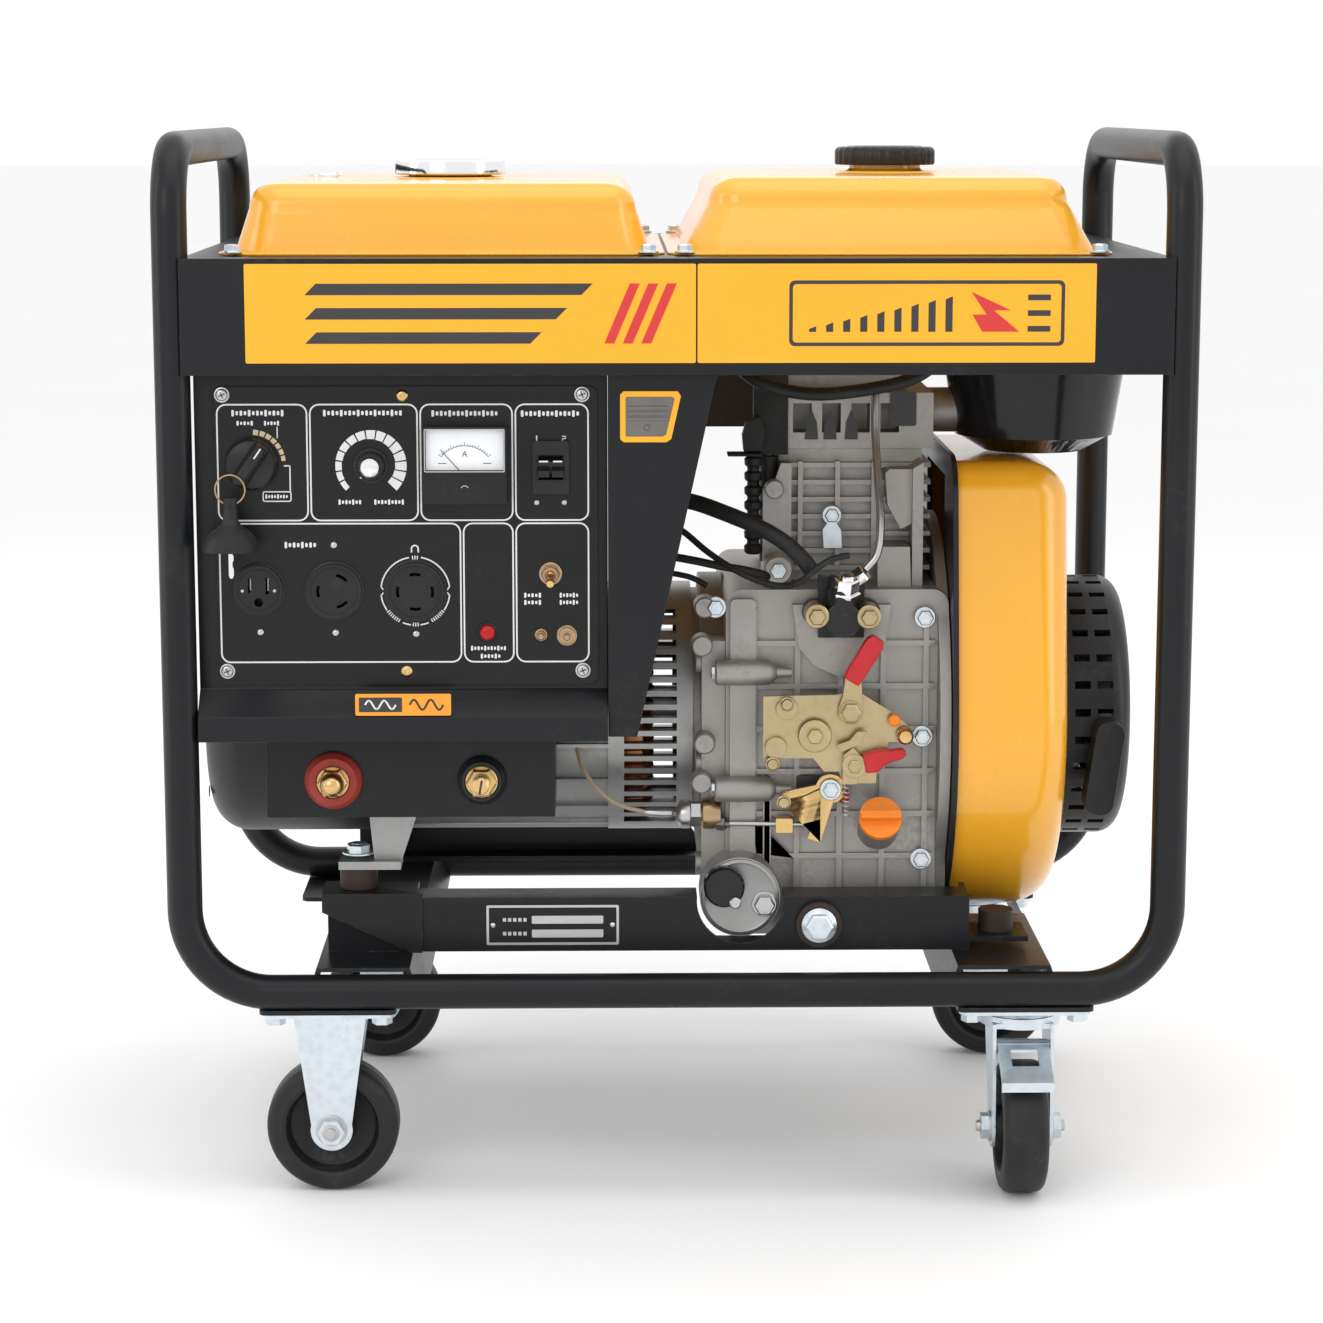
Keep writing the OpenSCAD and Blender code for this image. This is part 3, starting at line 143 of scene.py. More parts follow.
class NodeSheet:
    """The node tree of one material, with the few ways this model adds to it."""

    def __init__(self, name: str) -> None:
        """Starts an empty material of that name.

        Args:
            name: The material's name.
        """
        self.material = bpy.data.materials.new(name)
        self.material.use_nodes = True
        self.tree = self.material.node_tree
        self.tree.nodes.clear()
        self.place = self.node("ShaderNodeTexCoord").outputs["Object"]

    def feed(self, socket: bpy.types.NodeSocket, value: object) -> None:
        """Sets a socket, or links it.

        Args:
            socket: The input socket.
            value: A number, colour, vector, socket or Tap.
        """
        if isinstance(value, Tap):
            self.tree.links.new(value.socket, socket)
        elif isinstance(value, bpy.types.NodeSocket):
            self.tree.links.new(value, socket)
        elif socket.type == "RGBA" and len(value) == 3:
            socket.default_value = (*value, 1.0)
        else:
            socket.default_value = value

    def node(self, kind: str, settings: dict | None = None, inputs: dict | None = None) -> bpy.types.Node:
        """Adds one node.

        Args:
            kind: The node's type.
            settings: Its settings, set first; "stops" holds a ramp's positions and colours.
            inputs: Values or links of its sockets, by name or number.

        Returns:
            The new node.
        """
        made = self.tree.nodes.new(kind)
        for key, value in (settings or {}).items():
            if key == "stops":
                ramp = made.color_ramp.elements
                while len(ramp) < len(value):
                    ramp.new(0.5)
                for stop, (position, colour) in zip(ramp, value):
                    stop.position, stop.color = position, (*colour, 1.0)
            else:
                setattr(made, key, value)
        for key, value in (inputs or {}).items():
            self.feed(made.inputs[key], value)
        return made

    def noise(self, size: float, detail: float = 3.0, rough: float = 0.55,
              stretch: Point = (1.0, 1.0, 1.0)) -> Tap:
        """Soft random pattern.

        Args:
            size: Width of a patch in millimetres.
            detail: Number of finer layers.
            rough: Strength of the finer layers.
            stretch: How many times finer the pattern is along each direction.

        Returns:
            A number round 0.5.
        """
        lie = self.node("ShaderNodeMapping", None, {"Vector": self.place, "Scale": tuple(stretch)})
        made = self.node("ShaderNodeTexNoise", None, {"Vector": lie.outputs[0], "Scale": 1 / (size * MM),
                                                      "Detail": detail, "Roughness": rough})
        return Tap(self, made.outputs[0])

    def cells(self, size: float) -> Tap:
        """Distance to the middle of the nearest random cell, cells of that size in millimetres."""
        made = self.node("ShaderNodeTexVoronoi", None, {"Vector": self.place, "Scale": 1 / (size * MM)})
        return Tap(self, made.outputs["Distance"])

    def edges(self, radius: float) -> Tap:
        """How near a point lies to a sharp edge.

        Args:
            radius: Width of the band along the edge, in millimetres.

        Returns:
            0 on flat ground, rising towards an edge.
        """
        soft = self.node("ShaderNodeBevel", {"samples": 3}, {"Radius": radius * MM})
        flat = self.node("ShaderNodeNewGeometry").outputs["Normal"]
        agree = self.node("ShaderNodeVectorMath", {"operation": "DOT_PRODUCT"},
                          {0: soft.outputs[0], 1: flat})
        return 1.0 - Tap(self, agree.outputs["Value"])

    def tint(self, first: object, second: object, share: Number, way: str = "MIX") -> bpy.types.NodeSocket:
        """Mixes two colours.

        Args:
            first: Colour where the share is 0.
            second: Colour where the share is 1.
            share: How much of the second colour.
            way: The Mix node's blend.

        Returns:
            The mixed colour's socket.
        """
        made = self.node("ShaderNodeMix", {"data_type": "RGBA", "blend_type": way, "clamp_factor": True},
                         {0: share, 6: first, 7: second})
        return made.outputs[2]

    def relief(self, height: Number, depth: float, strength: float = 1.0,
               below: bpy.types.NodeSocket | None = None) -> bpy.types.NodeSocket:
        """Turns a height into a bumped normal.

        Args:
            height: The height, as a number.
            depth: What a height of 1 stands for, in millimetres.
            strength: Strength of the bump.
            below: Normal that the bump is added to.

        Returns:
            The normal's socket.
        """
        inputs = {"Height": height, "Distance": depth * MM, "Strength": strength}
        if below is not None:
            inputs["Normal"] = below
        return self.node("ShaderNodeBump", None, inputs).outputs[0]

    def close(self, constants: dict | None = None, **links: object) -> bpy.types.Material:
        """Adds the surface shader and its output.

        Args:
            constants: Even values of the shader's sockets, by name.
            **links: base, roughness, metallic, normal, coat or glow, as values or links.

        Returns:
            The finished material.
        """
        names = {"base": "Base Color", "roughness": "Roughness", "metallic": "Metallic", "normal": "Normal",
                 "coat": "Coat Weight", "glow": "Emission Color"}
        shader = self.node("ShaderNodeBsdfPrincipled", None, constants)
        for key, value in links.items():
            self.feed(shader.inputs[names[key]], value)
        self.node("ShaderNodeOutputMaterial", None, {"Surface": shader.outputs[0]})
        return self.material


def shade(colour: Colour, times: float) -> Colour:
    """The colour made darker or lighter that many times."""
    return tuple(min(1.0, part * times) for part in colour)


# ---------------------------------------------------------------- finishes

@dataclass(frozen=True)
class Paint:
    """Sprayed paint or powder coat, with a fine peel, dust and rubbed edges."""

    colour: Colour
    rough: float = 0.35
    peel: float = 1.6
    depth: float = 0.03
    dust: Colour = (0.30, 0.29, 0.27)
    dusty: float = 0.05
    bare: Colour = (0.35, 0.35, 0.35)
    rubbed: float = 0.5
    coat: float = 0.0
    drift: float = 0.12
    sheen: float = 0.3

    def mix(self, name: str) -> bpy.types.Material:
        """Builds the material of that name.

        Args:
            name: The material's name.

        Returns:
            The material.
        """
        sheet = NodeSheet(name)
        broad = sheet.noise(90.0, 4.0)
        fine = sheet.noise(6.0, 4.0, 0.65)
        grit = sheet.noise(self.peel, 2.0)
        tone = sheet.tint(shade(self.colour, 1 - self.drift), shade(self.colour, 1 + self.drift), broad)
        lying = broad.rise(0.5, 0.8) * fine.rise(0.4, 0.8) * self.dusty
        tone = sheet.tint(tone, self.dust, lying)
        rub = sheet.edges(1.2).rise(0.05, 0.4) * fine.rise(0.46, 0.66) * self.rubbed
        tone = sheet.tint(tone, self.bare, rub)
        gloss = self.rough + (fine - 0.5) * 0.12 + (broad - 0.5) * 0.1 + lying * 2.0
        bump = sheet.relief(grit + fine * 0.4, self.depth)
        return sheet.close({"Coat Weight": self.coat, "Coat Roughness": 0.08,
                            "Specular IOR Level": self.sheen}, base=tone, roughness=gloss,
                           normal=bump)


@dataclass(frozen=True)
class Metal:
    """Bare or plated metal with cloudy plating, fine scratches and a little grime."""

    colour: Colour
    rough: float = 0.3
    cloud: float = 0.15
    spangle: float = 0.0
    grime: Colour = (0.10, 0.09, 0.08)
    grimy: float = 0.25
    scratch: float = 0.012
    brush: Point = (1.0, 1.0, 6.0)

    def mix(self, name: str) -> bpy.types.Material:
        """Builds the material of that name.

        Args:
            name: The material's name.

        Returns:
            The material.
        """
        sheet = NodeSheet(name)
        broad = sheet.noise(28.0, 4.0)
        fine = sheet.noise(3.0, 5.0, 0.7)
        hair = sheet.noise(2.2, 3.0, 0.6, self.brush)
        tone = sheet.tint(shade(self.colour, 1 - self.cloud), shade(self.colour, 1 + self.cloud), broad)
        if self.spangle:
            tone = sheet.tint(tone, shade(self.colour, 1.35), sheet.cells(7.0).rise(0.2, 0.7) * self.spangle)
        soil = fine.rise(0.52, 0.75) * broad.rise(0.42, 0.7) * self.grimy
        tone = sheet.tint(tone, self.grime, soil)
        gloss = self.rough + (fine - 0.5) * 0.2 + (hair - 0.5) * 0.1 + soil * 0.5
        return sheet.close(None, base=tone, metallic=1.0 - soil * 0.8, roughness=gloss,
                           normal=sheet.relief(hair + fine * 0.5, self.scratch))


@dataclass(frozen=True)
class Casting:
    """Sand or die cast metal with a grainy skin, flow marks and oil stains in random patches."""

    colour: Colour
    rough: float = 0.5
    grain: float = 1.1
    depth: float = 0.09
    metal: float = 0.75
    oil: Colour = (0.07, 0.055, 0.04)
    oily: float = 0.35

    def mix(self, name: str) -> bpy.types.Material:
        """Builds the material of that name.

        Args:
            name: The material's name.

        Returns:
            The material.
        """
        sheet = NodeSheet(name)
        broad = sheet.noise(45.0, 5.0, 0.6)
        fine = sheet.noise(5.0, 5.0, 0.7)
        sand = sheet.noise(self.grain, 3.0, 0.6)
        tone = sheet.tint(shade(self.colour, 0.78), shade(self.colour, 1.16), broad)
        tone = sheet.tint(tone, shade(self.colour, 1.3), fine.rise(0.5, 0.8) * 0.4)
        soil = broad.rise(0.46, 0.68) * fine.rise(0.42, 0.66) * self.oily
        tone = sheet.tint(tone, self.oil, soil)
        lip = sheet.edges(1.0).rise(0.05, 0.4)
        tone = sheet.tint(tone, shade(self.colour, 1.5), lip * 0.5)
        gloss = self.rough + (fine - 0.5) * 0.25 - lip * 0.12 - soil * 0.2
        return sheet.close(None, base=tone, metallic=self.metal - soil * 0.5, roughness=gloss,
                           normal=sheet.relief(sand + fine * 0.8, self.depth))


@dataclass(frozen=True)
class Moulding:
    """Moulded rubber or plastic with a fine grain, faint bloom and scuffs."""

    colour: Colour
    rough: float = 0.45
    grain: float = 0.7
    depth: float = 0.02
    bloom: Colour = (0.25, 0.24, 0.23)
    bloomy: float = 0.1
    sheen: float = 0.0

    def mix(self, name: str) -> bpy.types.Material:
        """Builds the material of that name.

        Args:
            name: The material's name.

        Returns:
            The material.
        """
        sheet = NodeSheet(name)
        broad = sheet.noise(30.0, 4.0)
        fine = sheet.noise(4.0, 4.0, 0.65)
        grit = sheet.noise(self.grain, 2.0)
        tone = sheet.tint(shade(self.colour, 0.85), shade(self.colour, 1.15), broad)
        haze = broad.rise(0.45, 0.75) * fine.rise(0.35, 0.75) * self.bloomy
        tone = sheet.tint(tone, self.bloom, haze)
        gloss = self.rough + (fine - 0.5) * 0.15 + haze * 0.8
        return sheet.close({"Sheen Weight": self.sheen, "Specular IOR Level": 0.32}, base=tone,
                           roughness=gloss, normal=sheet.relief(grit + fine * 0.5, self.depth))


@dataclass(frozen=True)
class Ink:
    """Screen printed ink or a printed foil: thin, even, a little speckled and worn, with an optional painted
    glow.
    """

    colour: Colour
    rough: float = 0.5
    worn: Colour = (0.05, 0.05, 0.05)
    wear: float = 0.25
    glow: float = 0.0

    def mix(self, name: str) -> bpy.types.Material:
        """Builds the material of that name.

        Args:
            name: The material's name.

        Returns:
            The material.
        """
        sheet = NodeSheet(name)
        broad = sheet.noise(40.0, 3.0)
        speck = sheet.noise(0.9, 3.0, 0.7)
        tone = sheet.tint(shade(self.colour, 0.93), shade(self.colour, 1.05), broad)
        tone = sheet.tint(tone, self.worn, speck.rise(0.60, 0.78) * broad.rise(0.4, 0.7) * self.wear)
        return sheet.close({"Emission Strength": self.glow, "Emission Color": (*self.colour, 1.0)},
                           base=tone, roughness=self.rough + (speck - 0.5) * 0.2,
                           normal=sheet.relief(speck, 0.01))


@dataclass(frozen=True)
class Crackle:
    """Black wrinkle paint of the generator's end cover."""

    colour: Colour
    rough: float = 0.42

    def mix(self, name: str) -> bpy.types.Material:
        """Builds the material of that name.

        Args:
            name: The material's name.

        Returns:
            The material.
        """
        sheet = NodeSheet(name)
        wrinkle = sheet.noise(1.8, 4.0, 0.6)
        ridge = (wrinkle - 0.5) * (wrinkle - 0.5) * 30.0
        broad = sheet.noise(60.0, 3.0)
        tone = sheet.tint(shade(self.colour, 0.8), shade(self.colour, 1.4), broad)
        return sheet.close(None, base=tone, roughness=self.rough + (broad - 0.5) * 0.2,
                           normal=sheet.relief(ridge.least(1.0), 0.08))


class Finish(Enum):
    """Every finish on the machine."""

    powder = Paint((0.0062, 0.0068, 0.0082), 0.36, 1.4, 0.02, dusty=0.05, rubbed=0.35, drift=0.2)
    panel = Paint((0.0058, 0.0062, 0.0072), 0.34, 1.0, 0.008, dusty=0.04, rubbed=0.25, drift=0.15)
    enamel = Paint((0.90, 0.42, 0.022), 0.26, 3.0, 0.02, dusty=0.03, rubbed=0.15, coat=0.6, drift=0.05,
                   sheen=0.5, bare=(0.95, 0.62, 0.2))
    decal = Paint((0.93, 0.42, 0.026), 0.38, 2.0, 0.006, dusty=0.02, rubbed=0.1, drift=0.03,
                  bare=(0.9, 0.5, 0.1))
    zinc = Metal((0.62, 0.68, 0.72), 0.34, 0.10, 0.25, grimy=0.25)
    steel = Metal((0.52, 0.52, 0.52), 0.32, 0.15)
    chrome = Metal((0.86, 0.87, 0.88), 0.10, 0.05, grimy=0.06, scratch=0.006)
    iron = Metal((0.20, 0.19, 0.18), 0.5, 0.25, grimy=0.4)
    brass = Metal((0.70, 0.47, 0.20), 0.28, 0.12, grimy=0.3)
    bronze = Metal((0.45, 0.31, 0.18), 0.3, 0.12, grimy=0.3)
    copper = Metal((0.60, 0.26, 0.13), 0.4, 0.2, grimy=0.4)
    gold = Metal((0.46, 0.37, 0.21), 0.34, 0.22, 0.15, grimy=0.25)
    cast = Casting((0.37, 0.355, 0.335))
    cast_fine = Casting((0.36, 0.36, 0.355), 0.42, 0.8, 0.04, 0.85, oily=0.2)
    stator = Casting((0.33, 0.34, 0.34), 0.5, 1.0, 0.05, 0.6, oily=0.25)
    rubber = Moulding((0.012, 0.012, 0.012), 0.55, 0.8, 0.03, bloomy=0.12)
    tyre = Moulding((0.013, 0.013, 0.0135), 0.48, 1.1, 0.05, bloomy=0.16)
    # This finish also dresses the swivels' dark ring, which is painted shade for the gap between the races.
    bush = Moulding((0.035, 0.022, 0.016), 0.6, 1.0, 0.04, bloomy=0.2)
    plastic = Moulding((0.012, 0.012, 0.013), 0.34, 0.8, 0.012, bloomy=0.06)
    gloss = Moulding((0.010, 0.010, 0.011), 0.16, 1.5, 0.004, bloomy=0.03)
    red = Moulding((0.50, 0.018, 0.022), 0.35, 1.0, 0.01, (0.6, 0.2, 0.2), 0.1)
    red_dull = Moulding((0.30, 0.032, 0.022), 0.45, 1.0, 0.02, (0.4, 0.2, 0.18), 0.2)
    orange = Moulding((0.85, 0.23, 0.015), 0.36, 1.0, 0.015, (0.9, 0.5, 0.2), 0.12)
    lens = Moulding((0.42, 0.008, 0.012), 0.14, 1.5, 0.004, (0.5, 0.1, 0.1), 0.05)
    crackle = Crackle((0.012, 0.012, 0.013))
    heat = Casting((0.10, 0.092, 0.085), 0.65, 1.2, 0.06, 0.4, (0.12, 0.05, 0.025), 0.5)
    pump = Paint((0.014, 0.014, 0.015), 0.36, 1.4, 0.05, dusty=0.1, rubbed=0.6, drift=0.25)
    white = Ink((0.72, 0.72, 0.70))
    cream = Ink((0.62, 0.47, 0.30))
    # The meter dial's emission of 0.12 is a painted glow; no lamp lights the dial.
    dial = Ink((0.80, 0.82, 0.84), 0.35, (0.5, 0.5, 0.5), 0.1, 0.12)
    # Black ink is the real print, and also the painted shade in the screw slots, the stud slot and the
    # head's openings.
    black_ink = Ink((0.03, 0.03, 0.032), 0.4, (0.1, 0.1, 0.1), 0.1)
    red_ink = Ink((0.62, 0.03, 0.03), 0.4, (0.5, 0.2, 0.1), 0.1)
    amber = Ink((0.90, 0.33, 0.02), 0.4, (0.5, 0.2, 0.05), 0.1)
    foil = Metal((0.55, 0.55, 0.56), 0.38, 0.1, grimy=0.1)
    wire = Moulding((0.42, 0.33, 0.22), 0.45, 1.0, 0.02, (0.5, 0.45, 0.35), 0.2)


class FinishRack:
    """Mixes each finish once, on its first use."""

    def __init__(self) -> None:
        """Starts empty."""
        self.mixed: dict[Finish, bpy.types.Material] = {}

    def take(self, finish: Finish) -> bpy.types.Material:
        """The material of a finish.

        Args:
            finish: The finish.

        Returns:
            Its material, mixed once.
        """
        if finish not in self.mixed:
            self.mixed[finish] = finish.value.mix(finish.name)
        return self.mixed[finish]


RACK = FinishRack()


# ---------------------------------------------------------------- mesh making

class Plane(Enum):
    """The plane an outline is drawn in; the third direction is the lift."""

    XY = "XY"
    XZ = "XZ"
    YZ = "YZ"

    def lay(self, u: float, v: float, lift: float) -> Vector:
        """A point of the outline in space.

        Args:
            u: First coordinate of the outline.
            v: Second coordinate of the outline.
            lift: Height off the plane.

        Returns:
            The point, in metres.
        """
        order = {"XY": (u, v, lift), "XZ": (u, lift, v), "YZ": (lift, u, v)}[self.value]
        return Vector(order) * MM


def circle(u: float, v: float, radius: float, count: int = 40, start: float = 0.0) -> list[Point]:
    """Points of a circle, from an angle in degrees."""
    return [(u + radius * math.cos(math.radians(start + 360 * k / count)),
             v + radius * math.sin(math.radians(start + 360 * k / count))) for k in range(count)]


def rounded(u0: float, v0: float, u1: float, v1: float, radius: float, steps: int = 5) -> list[Point]:
    """Outline of a rectangle with round corners.

    Args:
        u0: Left edge.
        v0: Bottom edge.
        u1: Right edge.
        v1: Top edge.
        radius: Corner radius.
        steps: Steps in each corner.

    Returns:
        The outline's points, counter-clockwise.
    """
    corners = ((u1 - radius, v0 + radius, -90), (u1 - radius, v1 - radius, 0),
               (u0 + radius, v1 - radius, 90), (u0 + radius, v0 + radius, 180))
    return [(cu + radius * math.cos(math.radians(a0 + 90 * k / steps)),
             cv + radius * math.sin(math.radians(a0 + 90 * k / steps)))
            for cu, cv, a0 in corners for k in range(steps + 1)]


def sector(u: float, v: float, inner: float, outer: float, first: float, last: float,
           steps: int = 0) -> list[Point]:
    """Outline of a piece of a ring between two angles in degrees.

    Args:
        u: Centre, across.
        v: Centre, up.
        inner: Inner radius.
        outer: Outer radius.
        first: First angle, in degrees.
        last: Last angle, in degrees.
        steps: Steps along the arc.

    Returns:
        The outline.
    """
    steps = steps or max(2, int(abs(last - first) / 6))
    angles = [math.radians(first + (last - first) * k / steps) for k in range(steps + 1)]
    return ([(u + outer * math.cos(a), v + outer * math.sin(a)) for a in angles]
            + [(u + inner * math.cos(a), v + inner * math.sin(a)) for a in reversed(angles)])


def bar(a: Point, b: Point, width: float) -> list[Point]:
    """Outline of a straight stroke of that width from a to b.

    Args:
        a: One end.
        b: The other end.
        width: Width of the bar.

    Returns:
        The outline.
    """
    run, climb = b[0] - a[0], b[1] - a[1]
    length = math.hypot(run, climb) or 1.0
    nu, nv = -climb / length * width / 2, run / length * width / 2
    return [(a[0] + nu, a[1] + nv), (a[0] - nu, a[1] - nv), (b[0] - nu, b[1] - nv), (b[0] + nu, b[1] + nv)]


def fluted(plane: Plane, u: float, v: float, lift: float, radius: float, depth: float,
           count: int) -> list[Vector]:
    """A ring with square grip flutes, two points high and two points low.

    Args:
        plane: The ring's plane.
        u: Centre, across.
        v: Centre, up.
        lift: Place along the plane's normal.
        radius: Outer radius.
        depth: Depth of the flutes.
        count: Number of points.

    Returns:
        The ring, in metres.
    """
    turn = [2 * math.pi * k / count for k in range(count)]
    reach = [radius - depth * (k % 4 < 2) for k in range(count)]
    return [plane.lay(u + r * math.cos(a), v + r * math.sin(a), lift) for r, a in zip(reach, turn)]


def smooth_route(points: Sequence[Point], steps: int = 8) -> list[Vector]:
    """A smooth line through given points.

    Args:
        points: The points, in millimetres.
        steps: Steps between two of them.

    Returns:
        The line's points, in millimetres.
    """
    p = [Vector(q) for q in points]
    p = [p[0] * 2 - p[1], *p, p[-1] * 2 - p[-2]]
    line = []
    for i in range(1, len(p) - 2):
        for k in range(steps):
            t = k / steps
            line.append(0.5 * (2 * p[i] + (p[i + 1] - p[i - 1]) * t
                               + (2 * p[i - 1] - 5 * p[i] + 4 * p[i + 1] - p[i + 2]) * t * t
                               + (3 * p[i] - p[i - 1] - 3 * p[i + 1] + p[i + 2]) * t ** 3))
    return line + [p[-2]]


class Shape:
    """Gathers closed solids in one mesh and turns them into one piece."""

    def __init__(self) -> None:
        """Starts with an empty mesh."""
        self.bm = bmesh.new()

    def skin(self, rings: Sequence[Sequence[Vector]], closed: bool = False) -> "Shape":
        """Joins rings of points with walls.

        Args:
            rings: Rings of the same number of points, in metres.
            closed: Whether the last ring joins the first; else both ends are capped.

        Returns:
            This shape.
        """
        made = [[self.bm.verts.new(p) for p in ring] for ring in rings]
        count = len(made[0])
        pairs = list(zip(made, made[1:])) + ([(made[-1], made[0])] if closed else [])
        faces = [self.bm.faces.new((a[k], a[(k + 1) % count], b[(k + 1) % count], b[k]))
                 for a, b in pairs for k in range(count)]
        if not closed:
            faces += [self.bm.faces.new(list(reversed(made[0]))), self.bm.faces.new(made[-1])]
        bmesh.ops.recalc_face_normals(self.bm, faces=faces)
        return self

    def prism(self, outline: Sequence[Point], low: float, high: float, plane: Plane = Plane.XZ) -> "Shape":
        """An outline made solid between two lifts.

        Args:
            outline: The outline's points.
            low: First lift.
            high: Second lift.
            plane: The outline's plane.

        Returns:
            This shape.
        """
        return self.skin([[plane.lay(u, v, lift) for u, v in outline] for lift in (low, high)])

    def border(self, outer: Sequence[Point], inner: Sequence[Point], low: float, high: float,
               plane: Plane = Plane.XZ) -> "Shape":
        """A closed frame between two outlines of the same number of points, solid between two lifts."""
        loops = ((outer, low), (outer, high), (inner, high), (inner, low))
        return self.skin([[plane.lay(u, v, lift) for u, v in loop] for loop, lift in loops], True)

    def block(self, a: Point, b: Point) -> "Shape":
        """A block between two corners."""
        return self.prism([(a[0], a[1]), (b[0], a[1]), (b[0], b[1]), (a[0], b[1])], a[2], b[2], Plane.XY)

    def turned(self, at: Point, axis: Point, outline: Sequence[Point], sides: int = 48,
               hollow: bool = False) -> "Shape":
        """A turned solid.

        Args:
            at: Point where the axis starts.
            axis: Direction of the axis.
            outline: Distance along the axis and radius of each ring.
            sides: Number of sides.
            hollow: Whether the outline is a closed loop round a bore.

        Returns:
            This shape.
        """
        z = Vector(axis).normalized()
        x = z.orthogonal().normalized()
        x = (x if abs(z.z) > 0.9 else Vector((0, 0, 1)).cross(z)).normalized()
        y = z.cross(x)
        rings = [[(Vector(at) + z * along + (x * math.cos(2 * math.pi * k / sides) + y * math.sin(
            2 * math.pi * k / sides)) * max(radius, 0.02)) * MM for k in range(sides)] for along,
                 radius in outline]
        return self.skin(rings, hollow)

    def rod(self, route: Sequence[Point], radius: Union[float, Sequence[float]], sides: int = 16) -> "Shape":
        """A round bar, pipe or hose along a line.

        Args:
            route: Points of the line, in millimetres.
            radius: Its radius, or one radius for each point.
            sides: Number of sides.

        Returns:
            This shape.
        """
        line = [Vector(q) for q in route]
        wide = [radius] * len(line) if isinstance(radius, (int, float)) else list(radius)
        turn = (line[1] - line[0]).normalized()
        side = turn.orthogonal().normalized()
        rings = []
        for i, centre in enumerate(line):
            ahead = (line[min(i + 1, len(line) - 1)] - line[max(i - 1, 0)]).normalized()
            side = (turn.rotation_difference(ahead) @ side).normalized()
            side = (side - ahead * side.dot(ahead)).normalized()
            turn, up = ahead, ahead.cross(side)
            rings.append([(centre + (side * math.cos(2 * math.pi * k / sides)
                                     + up * math.sin(2 * math.pi * k / sides)) * wide[i]) * MM
                          for k in range(sides)])
        return self.skin(rings)

    def hexagon(self, at: Point, axis: Point, across: float, height: float, washer: float = 0.0) -> "Shape":
        """A hexagon bolt head with its chamfer, and a washer under it.

        Args:
            at: Where the head sits.
            axis: Direction it points.
            across: Radius over the corners.
            height: Height of the head.
            washer: Radius of the washer, 0 for none.

        Returns:
            This shape.
        """
        if washer:
            self.turned(at, axis, [(0, washer - 0.4), (0.4, washer), (1.4, washer), (1.8, washer - 0.5)], 36)
            at = tuple(Vector(at) + Vector(axis).normalized() * 1.8)
        self.turned(at, axis, [(0, across), (height * 0.82, across), (height, across * 0.86)], 6)
        return self.turned(at, axis, [(height - 0.2, across * 0.62), (height + 0.25, across * 0.6)], 24)

    def dome(self, at: Point, axis: Point, radius: float, height: float, sides: int = 32) -> "Shape":
        """A round screw head.

        Args:
            at: Where the head sits.
            axis: Direction it points.
            radius: Its radius.
            height: Its height.
            sides: Number of sides.

        Returns:
            This shape.
        """
        steps = [(height * math.sin(math.pi / 2 * k / 6), radius * math.cos(math.pi / 2 * k / 6) + 0.02)
                 for k in range(7)]
        return self.turned(at, axis, [(-0.2, radius), *steps], sides)

    def make(self, name: str, body: str, slot: str, finish: Finish, bevel: float = 0.0,
             stands_for: Iterable[str] = ()) -> bpy.types.Object:
        """Turns the shape into a piece on a body.

        Args:
            name: The piece's name.
            body: The body it rides on.
            slot: The record's material slot; not used.
            finish: Its finish.
            bevel: Width of its rounded edges, in millimetres.
            stands_for: Nodes that it replaces.

        Returns:
            The piece.
        """
        mesh = bpy.data.meshes.new(name)
        self.bm.to_mesh(mesh)
        self.bm.free()
        return settle(bpy.data.objects.new(name, mesh), body, finish, bevel, stands_for)


def settle(piece: bpy.types.Object, body: str, finish: Finish, bevel: float,
           stands_for: Iterable[str] = ()) -> bpy.types.Object:
    """Smooths, rounds, dresses and mounts a piece.

    Args:
        piece: The piece, in place.
        body: The body it rides on.
        finish: Its finish.
        bevel: Width of its rounded edges, in millimetres.
        stands_for: Nodes that it replaces.

    Returns:
        The piece.
    """
    bpy.context.scene.collection.objects.link(piece)
    mesh = piece.data
    mesh.polygons.foreach_set("use_smooth", [True] * len(mesh.polygons))
    mesh.set_sharp_from_angle(angle=math.radians(32))
    mesh.materials.clear()
    mesh.materials.append(RACK.take(finish))
    if bevel:
        edge = piece.modifiers.new("rounded_edges", "BEVEL")
        edge.width, edge.segments, edge.limit_method = bevel * MM, 2, "ANGLE"
        edge.angle_limit, edge.harden_normals, edge.use_clamp_overlap = math.radians(38), True, True
    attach(piece, body)
    if stands_for:
        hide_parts(*stands_for)
    LOG.info("%s on %s: %d faces", piece.name, body, len(mesh.polygons))
    return piece


def carry(node: str, finish: Finish, bevel: float = 0.4) -> bpy.types.Object:
    """Takes a node's solid over as a finished piece: cleaned, smoothed and with rounded edges.

    Args:
        node: The node.
        finish: Its finish.
        bevel: Width of its rounded edges, in millimetres.

    Returns:
        The piece, which replaces the node.
    """
    mesh = frame["nodes"][node].data.copy()
    bm = bmesh.new()
    bm.from_mesh(mesh)
    bmesh.ops.remove_doubles(bm, verts=bm.verts, dist=2e-6)
    bmesh.ops.dissolve_limit(bm, angle_limit=math.radians(0.6), verts=bm.verts, edges=bm.edges)
    bm.to_mesh(mesh)
    bm.free()
    mesh.name = node + "_finished"
    piece = bpy.data.objects.new(node + "_finished", mesh)
    return settle(piece, BODY_OF[node], finish, bevel, (node,))


